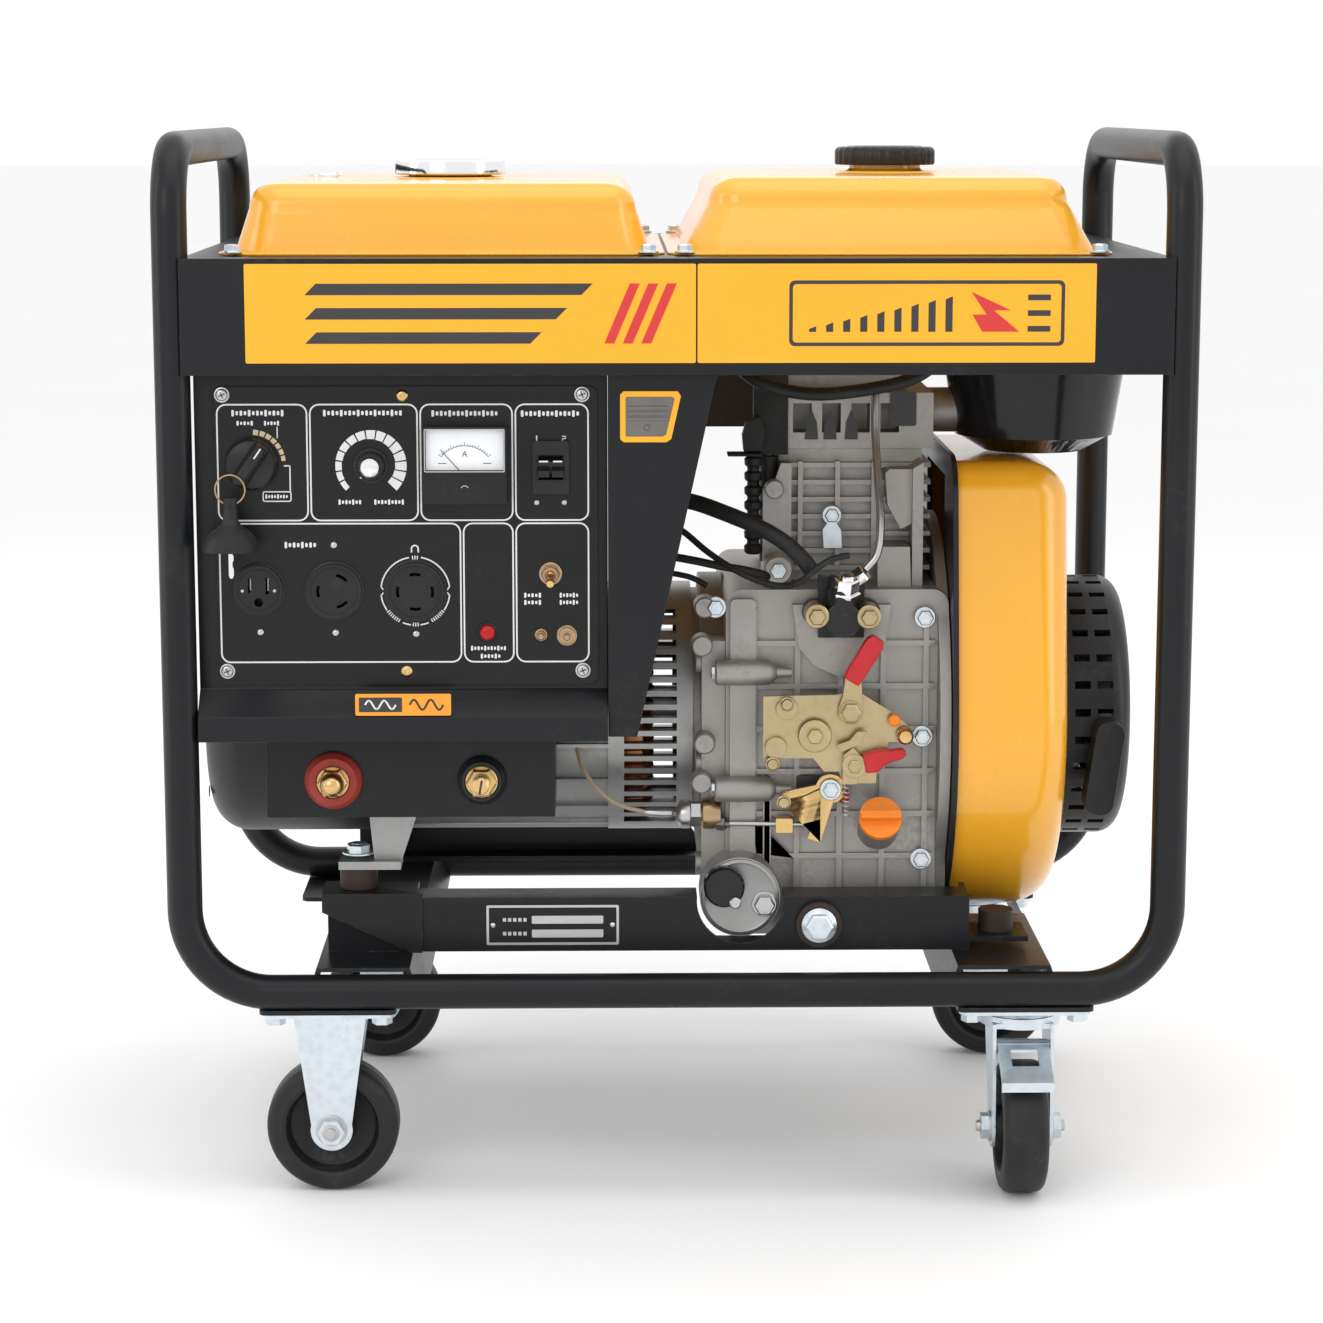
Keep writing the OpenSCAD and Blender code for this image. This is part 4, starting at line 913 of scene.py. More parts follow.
class Spot:
    """The box of a node at rest, in millimetres, for placing pieces against it."""

    def __init__(self, node: str) -> None:
        """Reads the node's box.

        Args:
            node: The node.
        """
        low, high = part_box(node)
        self.low, self.high = low / MM, high / MM
        self.mid = (self.low + self.high) / 2

    def size(self) -> Vector:
        """Size of the box."""
        return self.high - self.low


# ---------------------------------------------------------------- sub-assemblies

FRONT = (0.0, -1.0, 0.0)
UP = (0.0, 0.0, 1.0)
INK = 0.18


class Assembly:
    """Common steps of the sub-assemblies."""

    carried: dict[str, tuple[Finish, float]] = {}

    def carry_all(self) -> None:
        """Takes over the nodes that keep their own shape."""
        for node, (finish, bevel) in self.carried.items():
            carry(node, finish, bevel)

    def build(self) -> None:
        """Builds the sub-assembly's pieces."""
        self.carry_all()


@dataclass
class TubeFrame(Assembly):
    """Tube frame, its sheet band with two printed fields, and the engine bed."""

    field_low: float = 617.0
    field_high: float = 686.5
    field_ends: tuple[float, float, float] = (-304.0, 13.0, 294.0)
    plate_low: tuple[float, float] = (-141.0, 180.5)
    plate_high: tuple[float, float] = (-42.0, 211.5)
    mount_x: float = 106.0
    mount_z: float = 196.4
    carried = {"front_loop": (Finish.powder, 0.0), "rear_loop": (Finish.powder, 0.0),
               "top_band": (Finish.powder, 0.8), "bed_frame": (Finish.powder, 0.5),
               "rubber_mounts": (Finish.bush, 0.8)}

    def fields(self) -> None:
        """The two yellow fields on the band, with plain stripes on them."""
        face = Spot("top_band").low.y
        left, split, right = self.field_ends
        field = Shape()
        field.prism(rounded(left, self.field_low, split - 0.6, self.field_high, 1.2), face - INK, face)
        field.prism(rounded(split + 0.6, self.field_low, right, self.field_high, 1.2), face - INK, face)
        field.make("band_fields", "frame", "enamel_yellow", Finish.decal)
        mid = (self.field_low + self.field_high) / 2
        dark, red = Shape(), Shape()
        lift = (face - 2 * INK, face - INK)
        start, wide, pitch = -262.0, 8.0, 17
        for row in range(3):
            end, z = -60.0 - 18.0 * row, mid + pitch - pitch * row
            dark.prism([(start, z - wide / 2), (end - wide, z - wide / 2), (end, z + wide / 2),
                        (start + wide, z + wide / 2)], *lift)
        for k in range(3):
            x = -52.0 + 13 * k
            red.prism([(x, mid - 21), (x + 7, mid - 21), (x + 25, mid + 21), (x + 18, mid + 21)], *lift)
        dark.border(rounded(78, mid - 23, 272, mid + 23, 4),
                    rounded(80.5, mid - 20.5, 269.5, mid + 20.5, 2.5), *lift)
        for k in range(9):
            x = 92.0 + 12 * k
            dark.prism([(x, mid - 13), (x + 5, mid - 13), (x + 5, mid - 13 + 4 + 2.6 * k),
                        (x, mid - 13 + 2 + 2.6 * k)], *lift)
        red.prism([(214, mid - 13), (240, mid - 13), (222, mid + 2), (234, mid + 2), (206, mid + 15),
                   (217, mid - 1), (207, mid - 1)], *lift)
        for z in (mid - 11, mid, mid + 11):
            dark.prism(bar((246, z), (262, z), 4), *lift)
        dark.make("band_stripes_dark", "frame", "powder_black", Finish.black_ink)
        red.make("band_stripes_red", "frame", "red_plastic", Finish.red_ink)

    def rating_plate(self) -> None:
        """Blank rating plate on the front rail, with its rivets."""
        face = -165.0
        (x0, z0), (x1, z1) = self.plate_low, self.plate_high
        Shape().prism(rounded(x0, z0, x1, z1, 1.5), face - 0.5, face).make(
            "rating_plate", "frame", "powder_black", Finish.panel, 0.15)
        trim = Shape()
        trim.border(rounded(x0 + 0.4, z0 + 0.4, x1 - 0.4, z1 - 0.4, 1.4),
                    rounded(x0 + 2.2, z0 + 2.2, x1 - 2.2, z1 - 2.2, 0.8), face - 0.75, face - 0.4)
        for low in (z0 + 6.0, z0 + 16.5):
            trim.prism(rounded(x0 + 34, low, x1 - 12, low + 6, 0.8), face - 0.75, face - 0.4)
            for k in range(5):
                trim.prism(rounded(x0 + 12.5 + 3.8 * k, low + 1.6, x0 + 15 + 3.8 * k, low + 4.4, 0.4, 2),
                           face - 0.65, face - 0.4)
        trim.make("rating_plate_trim", "frame", "zinc", Finish.foil)
        rivets = Shape()
        for x in (x0 + 5.2, x1 - 5.2):
            rivets.dome((x, face - 0.5, (z0 + z1) / 2), FRONT, 1.9, 1.0)
        rivets.make("rating_plate_rivets", "frame", "zinc", Finish.zinc)

    def bolts(self) -> None:
        """Mount bolts, tank flange bolts and panel screws, each with a proper head; the screws' cross
        recesses are black painted shade.
        """
        heads = Shape()
        for side in (-1, 1):
            out = (0.0, float(side), 0.0)
            for y, outline, sides in ((124, [(0, 6), (49, 6)], 24),
                                      (171, [(0, 12.4), (0.6, 13), (1.6, 13), (2.2, 12.2)], 48),
                                      (173, [(0, 12.2), (0.8, 12.2), (2.6, 9.8)], 48),
                                      (174.6, [(0, 10.4), (5.2, 10.4), (6.4, 8.8)], 6)):
                heads.turned((self.mount_x, side * y, self.mount_z), out, outline, sides)
        for x in (-316.5, -20.5, 5.6, 301.6):
            for side in (-1, 1):
                heads.hexagon((x, side * 186.3, 692.2), UP, 5.6, 4.4, 7.4)
        heads.make("frame_bolts", "frame", "zinc", Finish.zinc, 0.0, ("fasteners",))
        panel = Spot("panel_plate")
        screws, slots = Shape(), Shape()
        for x in (panel.low.x + 6.4, panel.high.x - 11):
            for z in (panel.low.z + 10.2, panel.high.z - 6):
                screws.turned((x, panel.low.y, z), FRONT,
                              [(0, 5.4), (0.6, 5.4), (0.8, 4.4), (1.9, 3.6), (2.5, 2.0)])
                # Black crossed bars on each screw head: painted shade standing for the cross recess.
                for a, b in (((x - 2.4, z - 1), (x + 2.4, z + 1)), ((x - 1, z + 2.4), (x + 1, z - 2.4))):
                    slots.prism(bar(a, b, 0.8), panel.low.y - 2.6, panel.low.y - 1.6)
        screws.make("panel_screws", "frame", "zinc", Finish.steel)
        slots.make("panel_screw_slots", "frame", "powder_black", Finish.black_ink)

    def build(self) -> None:
        """Builds the frame's pieces."""
        self.carry_all()
        self.fields()
        self.rating_plate()
        self.bolts()


@dataclass
class Casters(Assembly):
    """Two fixed and two swivelling casters with turned wheels."""

    tyre_r: float = 49.0
    tyre_w: float = 34.0
    hub_w: float = 39.0
    swivel_x: float = 255.0
    carried = {"caster_brackets": (Finish.zinc, 0.5), "swivel_fork_front": (Finish.zinc, 0.5),
               "swivel_fork_rear": (Finish.zinc, 0.5), "brake_pedal_front": (Finish.zinc, 0.3),
               "brake_pedal_rear": (Finish.zinc, 0.3)}

    def wheel(self, node: str) -> None:
        """One wheel: tread with round shoulders, recessed web, hub and a mould line.

        Args:
            node: The wheel's node, which is also its body.
        """
        spot = Spot(node)
        along_x = spot.size().x < spot.size().y
        axis = Vector((1, 0, 0)) if along_x else Vector((0, 1, 0))
        half, r = self.tyre_w / 2, self.tyre_r
        side = [(half - 13, 17.5), (half - 12, 30), (half - 11.2, 31.5), (half - 2.2, 33.5),
                (half - 0.8, 34.5), (half, 37), (half - 0.6, 39.2), (half - 0.5, 42.5), (half - 1.3, 45),
                (half - 3, 47.2), (half - 5.5, 48.5), (half - 9, r - 0.12), (0.45, r - 0.05), (0.25, r)]
        hub = [(self.hub_w / 2, 6.1), (self.hub_w / 2, 14.6), (self.hub_w / 2 - 0.9, 15.6),
               (half - 12, 16.2)]
        profile = hub + side
        loop = profile + [(-along, radius) for along, radius in reversed(profile)]
        Shape().turned(tuple(spot.mid), tuple(axis), loop, 96, True).make(
            node + "_turned", BODY_OF[node], "wheel_rubber", Finish.tyre, 0.0, (node,))

    def axle_ends(self) -> None:
        """Washers and nuts on the axle ends, with the bolt's thread end standing out."""
        for node, body, along_x, x, y in (("fixed", "frame", False, -255.0, -176.3),
                                          ("fixed_rear", "frame", False, -241.0, 176.3),
                                          ("swivel_front", "swivel_front", True, 255.0, -194.3),
                                          ("swivel_rear", "swivel_rear", False, 273.0, 176.3)):
            ends = Shape()
            axis = Vector((1, 0, 0)) if along_x else Vector((0, 1, 0))
            middle = Vector((x, y, self.tyre_r))
            for way in (-1, 1):
                out = axis * way
                seat = middle + out * 22.5
                ends.turned(tuple(seat), tuple(out), [(0, 11.6), (1.2, 11.6), (1.6, 11)], 36)
                ends.turned(tuple(seat + out * 7.0), tuple(out),
                            [(-0.3, 6.6), (0.4, 6.2), (0.9, 4.2), (3.0, 4.0), (3.4, 3.4)], 24)
            ends.make("axle_ends_" + node, body, "zinc", Finish.steel, 0.15)

    def swivels(self) -> None:
        """Ball races of the two swivels: stacked pressed rings and a dark ring between them, painted shade
        for the gap.
        """
        for end, y in (("front", -176.3), ("rear", 176.3)):
            race = Shape()
            race.turned((self.swivel_x, y, 133.3), UP,
                        [(0, 29.0), (0.4, 30.2), (1.6, 30.8), (2.6, 30.2), (3, 27)], 64)
            race.make("swivel_race_top_" + end, "frame", "zinc", Finish.zinc)
            # Dark rubber-finished ring between the races: painted shade standing for the gap.
            Shape().turned((self.swivel_x, y, 136.2), UP, [(0, 25.0), (0.6, 26.4), (2.0, 26.8), (2.7, 25)],
                           64).make("swivel_seal_" + end, "frame", "rubber_black", Finish.bush)

    def build(self) -> None:
        """Builds the casters' pieces."""
        self.carry_all()
        for node in ("wheel_front_left", "wheel_rear_left", "wheel_front_right", "wheel_rear_right"):
            self.wheel(node)
        self.axle_ends()
        self.swivels()


@dataclass
class TankFittings(Assembly):
    """What sits on the two fuel tanks: caps, seals and a gauge."""

    carried = {"left_cap_seal": (Finish.rubber, 0.2), "right_cap_seal": (Finish.rubber, 0.2)}

    def left_cap(self) -> None:
        """Bright flat cap with a rolled rim and a pressed centre."""
        cap = Spot("left_cap")
        base, top = cap.low.z, cap.high.z
        r = cap.size().x / 2
        Shape().turned((cap.mid.x, cap.mid.y, base), UP,
                       [(4, 1), (4, r - 7), (0, r - 6), (0, r - 1.2), (1.2, r), (top - base - 2.6, r),
                        (top - base - 0.8, r - 0.8), (top - base, r - 3), (top - base, r - 6),
                        (top - base - 1.3, r - 8), (top - base - 1.3, r - 20), (top - base - 0.4, r - 22),
                        (top - base - 0.4, 2)], 96).make("left_cap_pressed", "left_cap", "chrome_cap",
                                                         Finish.chrome, 0.0, ("left_cap",))

    def right_cap(self) -> None:
        """Black moulded cap with grip flutes."""
        cap = Spot("right_cap")
        r = cap.size().x / 2
        height = cap.size().z
        count = 120
        rings = []
        profile = [(3.2, 0.5, 0), (3.2, r - 8, 0), (0, r - 7, 0), (0, r - 0.8, 1), (1.2, r, 1),
                   (height - 3.6, r, 1), (height - 1.6, r - 1.2, 0.6), (height - 0.6, r - 3, 0),
                   (height - 0.6, r - 9, 0), (height, r - 10, 0), (height, 0.5, 0)]
        for along, radius, flute in profile:
            rings.append(fluted(Plane.XY, cap.mid.x, cap.mid.y, cap.low.z + along, radius, flute * 0.9,
                                count))
        Shape().skin(rings).make("right_cap_moulded", "right_cap", "black_plastic", Finish.plastic, 0.0,
                                 ("right_cap",))

    def gauge(self) -> None:
        """Small fuel gauge on the left tank."""
        at = (-268.5, 60.0, 738.5)
        Shape().turned(at, UP, [(0, 12.4), (3.6, 12.4), (4.8, 11.4), (4.8, 9.6), (3.6, 9.2), (3.6, 0.5)],
                       48).make("gauge_bezel", "frame", "chrome_cap", Finish.chrome)
        Shape().turned((at[0], at[1], at[2] + 3.5), UP, [(0, 9.2), (0.5, 9.2), (0.9, 8.2), (1.1, 0.4)],
                       48).make("gauge_lens", "frame", "black_plastic", Finish.gloss)

    def build(self) -> None:
        """Builds the tanks' pieces."""
        self.carry_all()
        self.left_cap()
        self.right_cap()
        self.gauge()


@dataclass
class ControlBox(Assembly):
    """Control box: panel with its print, switches, meter, sockets, key and side cover."""

    selector: tuple[float, float] = (26.5, 160.0)
    current: tuple[float, float] = (111.5, 158.4)
    meter: tuple[float, float] = (178.5, 159.3)
    breaker: tuple[float, float] = (239.6, 157.2)
    duplex: tuple[float, float] = (30.0, 69.5)
    three_slot: tuple[float, float] = (84.0, 68.5)
    four_slot: tuple[float, float] = (142.0, 68.0)
    lamp: tuple[float, float] = (193.5, 38.0)
    switch: tuple[float, float] = (239.0, 80.5)
    earth: tuple[tuple[float, float], ...] = ((232.0, 36.0), (250.6, 35.5))
    carried = {"control_box": (Finish.powder, 0.8), "panel_plate": (Finish.panel, 0.3),
               "side_cover": (Finish.powder, 0.8)}

    def __post_init__(self) -> None:
        """Reads where the panel's face is."""
        panel = Spot("panel_plate")
        self.x0, self.z0, self.face = panel.low.x, panel.low.z, panel.low.y

    def on(self, place: Point, out: float = 0.0) -> tuple[float, float, float]:
        """A place on the panel as a point, out millimetres in front of its face."""
        return (self.x0 + place[0], self.face - out, self.z0 + place[1])

    def shift(self, outline: Sequence[Point]) -> list[Point]:
        """An outline given on the panel, moved to its place."""
        return [(self.x0 + u, self.z0 + v) for u, v in outline]

    def stroke(self, shape: Shape, outline: Sequence[Point]) -> None:
        """Adds one printed patch to a shape."""
        shape.prism(self.shift(outline), self.face - INK, self.face - 0.02)

    def marks(self, shape: Shape, u0: float, u1: float, v: float, tall: float) -> None:
        """A row of plain printed ticks where a caption would be.

        Args:
            shape: Shape that takes the ticks.
            u0: Left end.
            u1: Right end.
            v: Middle height.
            tall: Height of the tallest tick.
        """
        count = max(3, int((u1 - u0) / (tall * 0.62)))
        step = (u1 - u0) / count
        for k in range(count):
            high = tall * (1.0, 0.62, 0.8, 0.62)[k % 4]
            left = u0 + step * k
            self.stroke(shape, rounded(left, v - high / 2, left + step * 0.62, v + high / 2, step * 0.2, 2))

    def cell(self, shape: Shape, u0: float, v0: float, u1: float, v1: float) -> None:
        """Adds the printed outline of one cell.

        Args:
            shape: Shape that takes the outline.
            u0: Left edge.
            v0: Bottom edge.
            u1: Right edge.
            v1: Top edge.
        """
        shape.border(self.shift(rounded(u0, v0, u1, v1, 7.0)),
                     self.shift(rounded(u0 + 1.1, v0 + 1.1, u1 - 1.1, v1 - 1.1, 5.9)),
                     self.face - INK, self.face - 0.02)

    def print_white(self) -> None:
        """White print: cell outlines, captions, scale marks and the ring round the large socket."""
        ink = Shape()
        self.cell(ink, 2.0, 118.6, 66.8, 202.6)
        self.cell(ink, 68.0, 118.6, 145.2, 202.6)
        self.cell(ink, 146.4, 118.6, 212.8, 202.6)
        self.cell(ink, 214.0, 118.6, 266.8, 202.6)
        self.cell(ink, 2.0, 16.0, 175.2, 117.4)
        self.cell(ink, 176.4, 16.0, 212.8, 117.4)
        self.cell(ink, 214.0, 16.0, 266.8, 117.4)
        for u0, u1, v, tall in ((13, 51, 196, 4.6), (16.5, 29, 188.8, 3.4), (36, 47.5, 188.8, 3.4),
                                (78, 135, 196, 4.6), (88, 105, 132.3, 3.8), (113.5, 135.5, 132.3, 3.8),
                                (155, 203, 195.6, 4.6), (218.5, 261, 195.4, 4.6), (49, 72.5, 101.5, 4.6),
                                (181.5, 207.5, 26.4, 3.6), (188.5, 203.5, 20.6, 3.6), (220, 233, 64.8, 3.6),
                                (220, 233, 59.6, 3.6), (245.5, 259.5, 64.8, 3.6), (245.5, 259.5, 59.6, 3.6)):
            self.marks(ink, u0, u1, v, tall)
        su, sv = self.selector
        self.stroke(ink, bar((45.2, 186.2), (45.2, 178), 0.7))
        for a, b in (((49.5, 158.4), (54.2, 158.4)), ((53.8, 158.4), (53.8, 140.0))):
            self.stroke(ink, bar(a, b, 0.9))
        ink.border(self.shift(rounded(34, 132.6, 54.6, 140.2, 1.6)),
                   self.shift(rounded(34.8, 133.4, 53.8, 139.4, 0.9)), self.face - INK, self.face - 0.02)
        self.marks(ink, 36, 52.6, 136.4, 3.2)
        cu, cv = self.current
        count, first, last = 15, 226.0, -46.0
        for k in range(count):
            a0 = first + (last - first) * (k + 0.07) / count
            a1 = first + (last - first) * (k + 0.93) / count
            self.stroke(ink, sector(cu, cv, 21.6 - 0.36 * k, 25.4, a0, a1, 3))
        fu, fv = self.four_slot
        for first, last in ((100, 172), (8, 80), (188, 214), (326, 352), (248, 262), (278, 292)):
            self.stroke(ink, sector(fu, fv, 24.2, 25.2, first, last))
        for angle in (180, 0):
            a = math.radians(angle)
            tip = (fu + 22.0 * math.cos(a), fv)
            for way in (-1, 1):
                rim = (fu + 24.6 * math.cos(a), fv + way * 3.2)
                self.stroke(ink, bar(rim, tip, 0.9))
        for angle in (*range(217, 243, 4), *range(299, 325, 4), 266, 270, 274, 86, 90, 94):
            a = math.radians(angle)
            self.stroke(ink, bar((fu + 22.9 * math.cos(a), fv + 22.9 * math.sin(a)),
                                 (fu + 25.6 * math.cos(a), fv + 25.6 * math.sin(a)), 0.8))
        self.stroke(ink, sector(fu, 98.6, 1.9, 2.9, 0, 180))
        for way in (-1, 1):
            self.stroke(ink, bar((fu + way * 2.4, 98.6), (fu + way * 2.4, 96.0), 1.0))
        for u, digit in ((229.6, 1), (249.0, 2)):
            if digit == 1:
                self.stroke(ink, bar((u, 175.6), (u, 179.6), 0.9))
            else:
                for a, b in (((u - 1.3, 179.2), (u + 1.3, 179.2)), ((u + 1.1, 179.2), (u + 1.1, 177.6)),
                             ((u + 1.3, 177.5), (u - 1.3, 177.5)), ((u - 1.1, 177.5), (u - 1.1, 175.9)),
                             ((u - 1.3, 175.8), (u + 1.3, 175.8))):
                    self.stroke(ink, bar(a, b, 0.6))
        ink.make("panel_print_white", "frame", "black_plastic", Finish.white)
        warm = Shape()
        for k, angle in enumerate(range(86, 8, -12)):
            self.stroke(warm, sector(su, sv, 20.6 + 0.15 * k, 24.4, angle, angle - 9.4, 4))
        warm.make("panel_print_cream", "frame", "black_plastic", Finish.cream)

    def small_screws(self) -> None:
        """Small screws round the sockets, the brass screws and the dots under the breaker."""
        steel, brass = Shape(), Shape()
        for place in ((30.5, 38.4), (84.4, 37.9), (142.2, 36.9), (84.0, 101.3)):
            steel.dome(self.on(place), FRONT, 2.5, 1.3, 24)
        for place in ((229.4, 131.8), (249.1, 131.8)):
            steel.dome(self.on(place), FRONT, 2.2, 1.6, 24)
        steel.make("panel_small_screws", "frame", "zinc", Finish.steel)
        for place in ((134.3, 208.4), (135.1, 9.6)):
            brass.turned(self.on(place), FRONT, [(0, 4.2), (0.5, 4.2), (1.4, 3.6), (2.0, 2.4), (2.0, 1.6),
                                                 (1.2, 1.4), (1.2, 0.1)], 32)
        brass.make("panel_brass_screws", "frame", "brass_parts", Finish.brass)

    def selector_knob(self) -> None:
        """Round selector with its diagonal grip bar."""
        u, v = self.selector
        knob = Shape()
        knob.turned(self.on((u, v), 0.3), FRONT,
                    [(0, 18.6), (1.4, 19), (3.0, 18.8), (8.0, 17.6), (9.6, 16.8), (10.4, 15.2), (10.6, 1)],
                    72)
        a = math.radians(90 - 35)
        cx, cz = self.x0 + u, self.z0 + v
        def bar_ring(half_long: float, half_wide: float, round_to: float) -> list[Point]:
            """Outline of the grip bar, turned to where it points."""
            return [(cx + p * math.cos(a) - q * math.sin(a), cz + p * math.sin(a) + q * math.cos(a))
                    for p, q in rounded(-half_long, -half_wide, half_long, half_wide, round_to, 5)]
        layers = ((17.0, 6.6, 4.2, 10.0), (16.8, 5.4, 4.0, 13.0), (16.6, 4.4, 3.8, 19.0),
                  (16.0, 3.7, 3.4, 21.2), (14.6, 2.6, 2.4, 22.2))
        knob.skin([[Plane.XZ.lay(p, q, self.face - out) for p, q in bar_ring(long, wide, turn)]
                   for long, wide, turn, out in layers])
        knob.turned(self.on((u, v), -25), FRONT, [(0, 5), (26, 5)], 24)
        knob.make("selector_knob_moulded", "selector", "black_plastic", Finish.plastic, 0.25,
                  ("selector_knob",))
        line = Shape()
        line.prism([(cx + p * math.cos(a) - q * math.sin(a), cz + p * math.sin(a) + q * math.cos(a)) for p,
                    q in ((7, -0.5), (15.5, -0.5), (15.5, 0.5), (7, 0.5))], self.face - 22.35,
                   self.face - 21.9)
        line.make("selector_pointer", "selector", "black_plastic", Finish.white)

    def current_knob(self) -> None:
        """Current dial: black fluted skirt and a bright turned cap."""
        u, v = self.current
        skirt = Shape()
        rings = []
        count = 96
        for out, r, flute in ((0.3, 12.0, 0), (1.0, 12.6, 0), (2.0, 12.4, 0), (2.2, 10.8, 0.5),
                              (8.6, 9.8, 0.5), (9.4, 9.0, 0), (9.4, 1.0, 0)):
            rings.append(fluted(Plane.XZ, self.x0 + u, self.z0 + v, self.face - out, r, flute, count))
        skirt.skin(rings)
        skirt.turned(self.on((u, v), -20), FRONT, [(0, 3), (21, 3)], 24)
        skirt.make("current_knob_skirt", "current", "black_plastic", Finish.plastic, 0.0, ("current_knob",))
        cap = Shape()
        cap.turned(self.on((u, v), 9.0), FRONT, [(0, 7.4), (4.6, 7.2), (5.6, 6.4), (5.6, 5.2), (5.0, 4.6),
                                                 (5.4, 2.0), (5.6, 0.1)], 64)
        cap.make("current_knob_cap", "current", "zinc", Finish.chrome)
        a = math.radians(230)
        dot = Shape()
        dot.dome((self.x0 + u + 11.0 * math.cos(a), self.face - 2.0, self.z0 + v + 11.0 * math.sin(a)),
                 FRONT, 0.8, 0.3, 16)
        dot.make("current_knob_mark", "current", "zinc", Finish.white)

    def meter_parts(self) -> None:
        """Panel meter: case, dial with its scale, needle and the cover over the movement."""
        u, v = self.meter
        carry("meter_case", Finish.gloss, 0.5)
        # The dial's finish gives it a painted glow; nothing lights it from behind.
        dial = Shape()
        dial.prism(self.shift(rounded(u - 27.6, v - 3.6, u + 27.6, v + 25.2, 0.6)), self.face - 5.6,
                   self.face - 5.05)
        dial.make("meter_dial", "frame", "black_plastic", Finish.dial)
        scale = Shape()
        lift = (self.face - 5.78, self.face - 5.55)
        pivot = (u, v - 8.0)
        scale.prism(self.shift(sector(*pivot, 21.6, 22.0, 140, 40)), *lift)
        for k in range(21):
            a = math.radians(140 - 5 * k)
            tall = 2.6 if k % 5 == 0 else 1.3
            scale.prism(self.shift(bar((pivot[0] + 22 * math.cos(a), pivot[1] + 22 * math.sin(a)),
                                       (pivot[0] + (22 + tall) * math.cos(a),
                                        pivot[1] + (22 + tall) * math.sin(a)), 0.3)), *lift)
        for a, b in (((u - 1.6, v + 6), (u, v + 10)), ((u, v + 10), (u + 1.6, v + 6)), ((u - 1, v + 7.4),
                                                                                     (u + 1, v + 7.4))):
            scale.prism(self.shift(bar(a, b, 0.5)), *lift)
        for side in (-1, 1):
            scale.prism(self.shift(bar((u + side * 16 - 3, v + 1.2), (u + side * 16 + 3, v + 1.2), 0.5)),
                        *lift)
        scale.make("meter_scale", "frame", "black_plastic", Finish.black_ink)
        needle = Shape()
        a = math.radians(90 + 42)
        tip = (pivot[0] + 25.5 * math.cos(a), pivot[1] + 25.5 * math.sin(a))
        needle.prism(self.shift(bar(pivot, tip, 0.55)), self.face - 7.3, self.face - 7.0)
        needle.turned(self.on(pivot, 6.4), FRONT, [(0, 3), (1.6, 2.8), (2.0, 1.5)], 24)
        needle.make("meter_needle_fine", "needle", "needle_paint", Finish.black_ink, 0.0, ("meter_needle",))
        trim = Shape()
        trim.prism(self.shift(sector(u, v - 17.2, 2.6, 3.2, 30, 150)), self.face - 11.25, self.face - 10.9)
        trim.border(self.shift(rounded(u - 28.6, v - 4.6, u + 28.6, v + 26.2, 1.0)),
                    self.shift(rounded(u - 27.9, v - 3.9, u + 27.9, v + 25.5, 0.8)), self.face - 11.12,
                    self.face - 10.9)
        trim.make("meter_trim", "frame", "black_plastic", Finish.steel)

    def fittings(self) -> None:
        """Breaker frame, pilot lamp, switch bush and earth posts."""
        bu, bv = self.breaker
        body = Shape()
        body.border(self.shift(rounded(bu - 13, bv - 19, bu + 13, bv + 19, 1.5)),
                    self.shift(rounded(bu - 9.5, bv - 8.8, bu + 9.5, bv + 8.8, 0.6)), self.face - 4,
                    self.face)
        body.border(self.shift(rounded(bu - 10, bv - 9.3, bu + 10, bv + 9.3, 0.6)),
                    self.shift(rounded(bu - 9.4, bv - 8.7, bu + 9.4, bv + 8.7, 0.6)), self.face - 4.3,
                    self.face)
        body.prism(self.shift(rounded(bu - 9.6, bv - 9.0, bu + 9.6, bv + 9.0, 0.6)), self.face + 12,
                   self.face + 14)
        for side in (-1, 1):
            body.block((self.x0 + bu + side * 9.0 - 0.4, self.face - 3.6, self.z0 + bv - 9),
                       (self.x0 + bu + side * 9.0 + 0.4, self.face + 12, self.z0 + bv + 9))
        body.make("breaker_frame", "frame", "black_plastic", Finish.plastic, 0.25, ("panel_fittings",))
        metal, lamp, brass = Shape(), Shape(), Shape()
        metal.turned(self.on(self.lamp), FRONT,
                     [(0, 7.2), (1.2, 7.2), (2.0, 6.4), (2.0, 5.8), (0.6, 5.6), (0.6, 0.1)], 48)
        metal.make("lamp_bezel", "frame", "black_plastic", Finish.plastic)
        lamp.turned(self.on(self.lamp, 0.6), FRONT,
                    [(0, 5.6), (2.6, 5.4), (4.0, 4.4), (4.8, 2.8), (5.1, 0.1)], 48)
        lamp.make("lamp_lens", "frame", "red_plastic", Finish.lens)
        brass.turned(self.on(self.switch), FRONT, [(0, 8.2), (1.2, 8.2), (1.6, 7.6), (1.6, 6.6)], 48)
        brass.turned(self.on(self.switch, 1.0), FRONT, [(0, 6.9), (2.4, 6.9), (3.0, 6.3)], 6)
        loop = [(0, 5.7), (4.2, 5.7), (4.8, 5.2), (4.8, 4.2), (1.0, 3.7), (0, 3.7)]
        brass.turned(self.on(self.switch, 3.2), FRONT, loop, 40, True)
        for k, place in enumerate(self.earth):
            wide = 4.6 + 3.0 * k
            brass.turned(self.on(place), FRONT, [(0, wide), (0.8, wide), (1.3, wide - 0.5)], 48)
            brass.turned(self.on(place, 1.2), FRONT,
                         [(0, wide * 0.78), (3.4, wide * 0.78), (4.0, wide * 0.66)], 6 if k == 0 else 40)
            brass.turned(self.on(place, 4.8), FRONT, [(0, 2.3), (5.0, 2.3), (5.6, 1.8)], 24)
        brass.make("switch_bush_and_posts", "frame", "brass_parts", Finish.bronze, 0.1)

